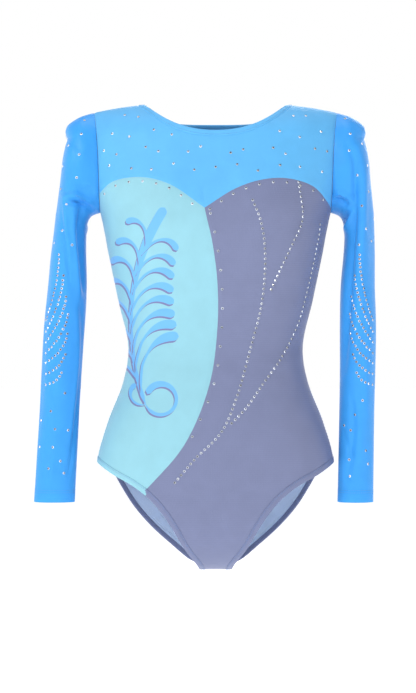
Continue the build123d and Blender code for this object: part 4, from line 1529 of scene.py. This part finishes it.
def finish_of(name):
    """The named finish, made from the scene's colours when first asked for."""
    if name in FINISHES:
        return FINISHES[name]
    maker, colour, values = FINISH_ROWS[name]
    if isinstance(colour, str):
        colour = tuple(getattr(bpy.context.scene.leotard_colours, colour))
    FINISHES[name] = maker(name, colour, **values)
    return FINISHES[name]


# ---------------------------------------------------------------- operators

def shoulder_bend(side):
    """Two points outwards and down from the armhole, clear of the whole armhole seam, where a sleeve's bend
    would start and end.
    """
    way = np.array([0.8 * SIDES[side], 0.0, -0.6])
    ring = armhole_ring(np.linspace(0, 2 * np.pi, 181), side) * MM
    start = ring[np.argmax(ring @ way)] + 0.002 * way
    return tuple(start), tuple(start + 0.085 * way)


PANEL_SLOTS = {
    "front_yoke": ("yoke_knit", (0.36, 0.16)),
    "front_right_panel": ("aqua_knit", (0.2, 0.45)),
    "front_left_panel": ("grey_knit", (0.27, 0.54)),
    "back_yoke": ("yoke_knit", (0.37, 0.16)),
    "back_body_panel": ("grey_knit", (0.37, 0.53)),
}


CUT_SHARE = 0.93


def cloth_area(obj):
    """Half the surface of a closed sheet, in square metres."""
    return sum(p.area for p in obj.data.polygons) / 2


def declare_sheet(obj, flat):
    """Works out the share of the sheet's flat cut that the made cloth fills, its area times CUT_SHARE, kept
    between 0.3 and 1.
    """
    share = cloth_area(obj) * CUT_SHARE / (flat[0] * flat[1])
    share = min(1.0, max(0.3, round(share, 3)))


class LEOTARD_OT_body(bpy.types.Operator):
    """Make the front and back panels and the printed scroll"""

    bl_idname = "leotard.body"
    bl_label = "Bodice panels"

    def execute(self, context):
        inside_cloth = finish_of("lining_knit")
        materials = {
            "front_yoke": (finish_of("yoke_blue_knit"), inside_cloth),
            "back_yoke": (finish_of("yoke_blue_knit"), inside_cloth),
            "front_right_panel": (finish_of("aqua_knit"), inside_cloth),
            "front_left_panel": (finish_of("grey_mauve_knit"), inside_cloth),
            "back_body_panel": (finish_of("grey_mauve_knit"), inside_cloth),
            "print": (finish_of("print_blue_knit"), finish_of("print_mauve_knit")),
        }
        panels = bodice_cloth(True, materials, scroll_leaves())
        panels.update(bodice_cloth(False, materials))
        for name, obj in panels.items():
            slot, flat = PANEL_SLOTS[name]
            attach(obj, "bodice")
            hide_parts(name)
            declare_sheet(obj, flat)
        return {"FINISHED"}


def leg_paint(point):
    """The hem is cut with its panel: aqua on the wearer's right of the centre seam, grey mauve elsewhere."""
    return 1 if point[1] < 0 and point[0] < -96 else 0


class LEOTARD_OT_bands(bpy.types.Operator):
    """Make the neck band and the leg hems"""

    bl_idname = "leotard.bands"
    bl_label = "Neck band and leg hems"

    def execute(self, context):
        neck = hem_band("neck_band", "neck", 1, (finish_of("yoke_blue_knit"),))
        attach(neck, "bodice")
        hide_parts("neck_binding", "neck_elastic")
        declare_sheet(neck, (0.03, 0.4))
        for side, way in SIDES.items():
            both = (finish_of("grey_mauve_knit"), finish_of("aqua_knit"))
            hem = hem_band(side + "_leg_hem", "leg", way, both, leg_paint)
            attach(hem, "bodice")
            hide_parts(side + "_leg_binding", side + "_leg_elastic")
            declare_sheet(hem, (0.03, 0.42))
        return {"FINISHED"}


TAPE = ((-2.8, -0.25), (-2.5, 0.3), (0.0, 0.42), (2.5, 0.3), (2.8, -0.25), (2.3, -0.4), (-2.3, -0.4))


def inside_tape(runs, depth=-1.35, count_step=3.0):
    """Points, faces and UVs of seam tapes on the inside, from laid runs as (st, front)."""
    points, faces, uvs = [], [], []
    for st, front in runs:
        st = evenly(st, count_step)
        if len(st) < 4:
            continue
        n = form_normal(st[:, 0], st[:, 1], front)
        p = smoothed(form(st[:, 0], st[:, 1], front) + n * depth, False, 2)
        grid, f, uv, _ = ribbon(p, n, TAPE, False)
        f = facing_out(grid, f)
        first = sum(len(g) for g in points)
        points.append(grid)
        uvs.append(uv)
        faces += [tuple(v + first for v in face) for face in f]
    return np.vstack(points), faces, np.vstack(uvs)


def trimmed(st, low, high, key):
    keep = (key(st) > low) & (key(st) < high)
    return st[keep]


def tape_piece(name, node, runs):
    points, faces, uvs = inside_tape(runs)
    obj = make_piece(name, points, faces, (finish_of("sewing_thread"),), None, uvs, crease=50.0)
    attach(obj, "bodice")
    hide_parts(node)
    return obj


class LEOTARD_OT_inside(bpy.types.Operator):
    """Make the overlocked seams, crotch lining and label inside"""

    bl_idname = "leotard.inside"
    bl_label = "Seams, lining and label inside"

    def execute(self, context):
        for side, way in SIDES.items():
            down = np.linspace(float(t_of(168.0)), float(t_of(484.0)), 120)
            st = np.stack([np.full(120, way * (SIDE_S - 4.0)), down], axis=1)
            tape_piece(side + "_side_overlock", side + "_side_seam", [(st, False)])
            s, _ = to_domain(np.linspace(NECK_HALF + 16, 156, 40) * way, np.full(40, 640.0))
            st = np.stack([s, np.full(40, T_END - 4.0)], axis=1)
            tape_piece(side + "_shoulder_overlock", side + "_shoulder_seam", [(st, False)])
            runs = []
            for front in (True, False):
                line = beside(armhole_line(side=way), way * 4.0)
                for st in runs_inside(line):
                    runs.append((trimmed(st, t_of(505.0), T_END - 6, lambda a: a[:, 1]), front))
            tape_piece(side + "_armhole_overlock", side + "_armhole_seam", runs)
        heart = max(runs_inside(heart_line()), key=len)
        heart = heart[np.abs(heart[:, 0]) < SIDE_S * 0.7]
        tape_piece("sweetheart_overlock", "sweetheart_seam", [(heart, True)])
        centre = max(runs_inside(centre_line()), key=len)
        centre = trimmed(centre, t_of(128.0), t_of(492.0), lambda a: a[:, 1])
        tape_piece("centre_overlock", "centre_front_seam", [(centre, True)])
        self.lining()
        self.label()
        return {"FINISHED"}

    def lining(self):
        """A thin second layer inside the crotch, front and back in one."""
        half = 20
        rows = 44
        heights = np.linspace(-float(t_of(66.0)), float(t_of(86.0)), rows)
        points = []
        for lift in (-1.15, -1.75):
            for h in heights:
                front = h >= 0
                line = leg_line(front, 1, BINDING + 2.0)
                z = float(z_of(abs(h)))
                order = np.argsort(line[:, 1])
                wide = min(float(np.interp(max(z, 2.0), line[order, 1], line[order, 0])), 95.0)
                share = np.linspace(-1, 1, half)
                s, _ = to_domain(share * wide, np.full(half, max(z, 0.5)))
                t = np.full(half, abs(h))
                p = form(s, t, front)
                n = form_normal(s, t, front)
                points.append(p + n * lift)
        grid = np.vstack(points)
        faces = facing_out(grid, two_layers(rows, half))
        obj = make_piece("crotch_lining", grid, faces, (finish_of("lining_knit"),), None, grid[:, [0, 2]])
        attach(obj, "bodice")
        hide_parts("gusset_lining")
        declare_sheet(obj, (0.19, 0.2))

    def label(self):
        """A blank folded label below the back neck band."""
        low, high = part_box("neck_label")
        width, tall = 22, 12
        x = np.linspace(low[0] / MM + 0.6, high[0] / MM - 0.6, width)
        z = np.linspace(low[2] / MM + 0.6, high[2] / MM - 0.6, tall)
        points = []
        for lift in (-1.25, -1.6):
            for level in z:
                s, t = to_domain(x, np.full(width, level))
                curl = 0.5 * np.clip((z[3] - level) / 6, 0, 1)
                points.append(form(s, t, False) + form_normal(s, t, False) * (lift - curl))
        grid = np.vstack(points)
        faces = facing_out(grid, two_layers(tall, width))
        obj = make_piece("blank_label", grid, faces, (finish_of("label_satin"),), None, grid[:, [0, 2]])
        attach(obj, "bodice")
        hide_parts("neck_label")
        declare_sheet(obj, (0.046, 0.022))


class LEOTARD_OT_sleeves(bpy.types.Operator):
    """Make the sleeves and their cuffs"""

    bl_idname = "leotard.sleeves"
    bl_label = "Sleeves and cuffs"

    def execute(self, context):
        for side in SIDES:
            cloth = sleeve_cloth(side, finish_of("sleeve_blue_knit"), finish_of("lining_knit"))
            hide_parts(side + "_sleeve_cap", side + "_sleeve")
            declare_sheet(cloth, (0.28, 0.56))
            start, end = shoulder_bend(side)
            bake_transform(cloth)
            cuff = cuff_band(side, (finish_of("sleeve_blue_knit"),))
            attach(cuff, side + "_sleeve_body")
            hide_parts(side + "_cuff_hem")
            declare_sheet(cuff, (0.15, 0.05))
        return {"FINISHED"}


class LEOTARD_OT_stitches(bpy.types.Operator):
    """Sew the hem and band stitches"""

    bl_idname = "leotard.stitches"
    bl_label = "Stitches"

    def execute(self, context):
        trims = context.scene.leotard_trims
        tree = stitch_tree()
        material = finish_of("sewing_thread")
        pitch = trims.stitch_pitch / MM
        rows = {
            "neck_stitches": [beside_ring("neck", 1, 2.0, 0.78, pitch)],
            "right_leg_stitches": [beside_ring("leg", -1, a, 0.8, pitch) for a in (2.0, 3.8)],
            "left_leg_stitches": [beside_ring("leg", 1, a, 0.8, pitch) for a in (2.0, 3.8)],
        }
        for name, lots in rows.items():
            spots, away, along = (np.vstack([lot[k] for lot in lots]) for k in range(3))
            obj = grown(name, spots, away, along, tree, material, Stitch_Length=trims.stitch_length)
            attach(obj, "bodice")
        for side in SIDES:
            lots = [round_sleeve(side, at, 0.22, pitch) for at in (12.67, 12.72)]
            spots, away, along = (np.vstack([lot[k] for lot in lots]) for k in range(3))
            name = side + "_cuff_stitches"
            obj = grown(name, spots, away, along, tree, material, Stitch_Length=trims.stitch_length)
            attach(obj, side + "_sleeve_body")
        return {"FINISHED"}


class LEOTARD_OT_stones(bpy.types.Operator):
    """Set the crystals on the front and sleeves"""

    bl_idname = "leotard.stones"
    bl_label = "Crystals"

    def execute(self, context):
        trims = context.scene.leotard_trims
        tree = stone_tree()
        material = finish_of("foiled_crystal")
        sizes = {"Stone_Width": trims.stone_width, "Stone_Height": trims.stone_height}
        pitch = trims.row_pitch / MM
        beside_centre = [(x + 6.0, z) for x, z in (HEART_LOW,) + CENTRE_SEAM[:-1]]
        rows = {
            "yoke_crystals": yoke_spots(),
            "sweetheart_crystals": np.vstack([spaced(r, 19.0) for r in HEART_STONES]),
            "centre_seam_crystals": spaced(beside_centre, 26.0, 8.0),
            "panel_row_crystals": np.vstack([spaced(r, pitch) for r in (ROW_A, ROW_B, ROW_C)]),
        }
        for name, spots in rows.items():
            places = stones_on_body(spots)
            obj = grown(name.replace("crystals", "stones"), *places, tree, material, Seed=len(name), **sizes)
            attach(obj, "bodice")
            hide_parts(name)
        for side in SIDES:
            start, end = shoulder_bend(side)
            places = stones_on_sleeve(CAP_LOOSE[side], side)
            cap = grown(side + "_cap_stones", *places, tree, material, Seed=3, **sizes)
            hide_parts(side + "_cap_crystals")
            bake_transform(cap)
            spots = sleeve_rows(side) + [np.array(SLEEVE_LOOSE[side], dtype=float)]
            places = stones_on_sleeve(np.vstack(spots), side)
            arm = grown(side + "_sleeve_stones", *places, tree, material, Seed=5, **sizes)
            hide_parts(side + "_sleeve_crystals")
            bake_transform(arm)
        return {"FINISHED"}


FLOOR_Z = -260.0
LIGHTS = (
    ("key_light", (-1.9, -2.4, 2.2), 1.3, 52.0, (0.0, 0.0, 0.35)),
    ("fill_light", (2.4, -2.0, 0.9), 2.0, 8.0, (0.0, 0.0, 0.3)),
    ("top_light", (0.0, 0.4, 3.0), 1.8, 22.0, (0.0, 0.0, 0.4)),
    ("back_light", (0.6, 3.0, 1.6), 2.0, 40.0, (0.0, 0.0, 0.3)),
)


class LEOTARD_OT_stage(bpy.types.Operator):
    """Lay the pale floor and set the lights and the camera"""

    bl_idname = "leotard.stage"
    bl_label = "Stage, lights and camera"

    def execute(self, context):
        self.floor()
        self.lights(context.scene)
        self.camera(context.scene)
        return {"FINISHED"}

    def floor(self):
        """A wide pale floor."""
        radii = (0.0, 1.0, 3.0, 7.0, 14.0, 30.0)
        count = 72
        points = [(0.0, 0.0, FLOOR_Z)]
        for radius in radii[1:]:
            for k in range(count):
                turn = 2 * math.pi * k / count
                points.append((radius / MM * math.cos(turn), radius / MM * math.sin(turn), FLOOR_Z))
        faces = [(0, 1 + k, 1 + (k + 1) % count) for k in range(count)]
        faces += [tuple(v + 1 for v in f) for f in grid_faces(len(radii) - 1, count, flip=True)]
        make_piece("studio_floor", points, faces, (studio_paper("studio_paper"),), crease=80.0)

    def lights(self, scene):
        world = bpy.data.worlds.new("studio_air")
        scene.world = world
        world.use_nodes = True
        tree = world.node_tree
        place = tree.nodes.new("ShaderNodeTexCoord")
        split = tree.nodes.new("ShaderNodeSeparateXYZ")
        ramp = tree.nodes.new("ShaderNodeValToRGB")
        ramp.color_ramp.elements[0].position = 0.3
        ramp.color_ramp.elements[0].color = (1.0, 1.0, 1.0, 1.0)
        ramp.color_ramp.elements[1].position = 0.62
        ramp.color_ramp.elements[1].color = (0.3, 0.32, 0.36, 1.0)
        tree.links.new(place.outputs["Generated"], split.inputs["Vector"])
        tree.links.new(split.outputs["Z"], ramp.inputs["Fac"])
        tree.links.new(ramp.outputs["Color"], tree.nodes["Background"].inputs["Color"])
        for name, spot, size, power, aim in LIGHTS:
            data = bpy.data.lights.new(name, "AREA")
            data.shape = "DISK"
            data.size = size
            data.energy = power
            light = bpy.data.objects.new(name, data)
            light.location = spot
            light.rotation_euler = (Vector(aim) - Vector(spot)).to_track_quat("-Z", "Y").to_euler()
            scene.collection.objects.link(light)
        scene.view_settings.view_transform = "Standard"

    def camera(self, scene):
        data = bpy.data.cameras.new("front_camera")
        data.lens = 129.9
        data.sensor_width = 36.0
        data.clip_end = 60.0
        camera = bpy.data.objects.new("front_camera", data)
        camera.location = (-0.0105, -3.5, 0.3115)
        camera.rotation_euler = (math.radians(90), 0.0, 0.0)
        scene.collection.objects.link(camera)
        scene.camera = camera


STEPS = (
    LEOTARD_OT_stage,
    LEOTARD_OT_body,
    LEOTARD_OT_bands,
    LEOTARD_OT_inside,
    LEOTARD_OT_sleeves,
    LEOTARD_OT_stitches,
    LEOTARD_OT_stones,
)


class LEOTARD_PT_panel(bpy.types.Panel):
    """Sizes, colours and pieces of the leotard"""

    bl_idname = "LEOTARD_PT_panel"
    bl_label = "Gymnastics leotard"
    bl_space_type = "VIEW_3D"
    bl_region_type = "UI"
    bl_category = "Leotard"

    def draw(self, context):
        layout = self.layout
        for group in (context.scene.leotard_colours, context.scene.leotard_trims):
            box = layout.box()
            for key in group.bl_rna.properties.keys():
                if key not in ("rna_type", "name"):
                    box.prop(group, key)
        for step in STEPS:
            layout.operator(step.bl_idname)


CLASSES = (LeotardColours, LeotardTrims, *STEPS, LEOTARD_PT_panel)


def register():
    for cls in CLASSES:
        bpy.utils.register_class(cls)
    bpy.types.Scene.leotard_colours = bpy.props.PointerProperty(type=LeotardColours)
    bpy.types.Scene.leotard_trims = bpy.props.PointerProperty(type=LeotardTrims)


def unregister():
    del bpy.types.Scene.leotard_trims
    del bpy.types.Scene.leotard_colours
    for cls in reversed(CLASSES):
        bpy.utils.unregister_class(cls)


def main():
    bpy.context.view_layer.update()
    register()
    for step in STEPS:
        group, name = step.bl_idname.split(".")
        getattr(getattr(bpy.ops, group), name)()


if __name__ == "__main__":
    main()
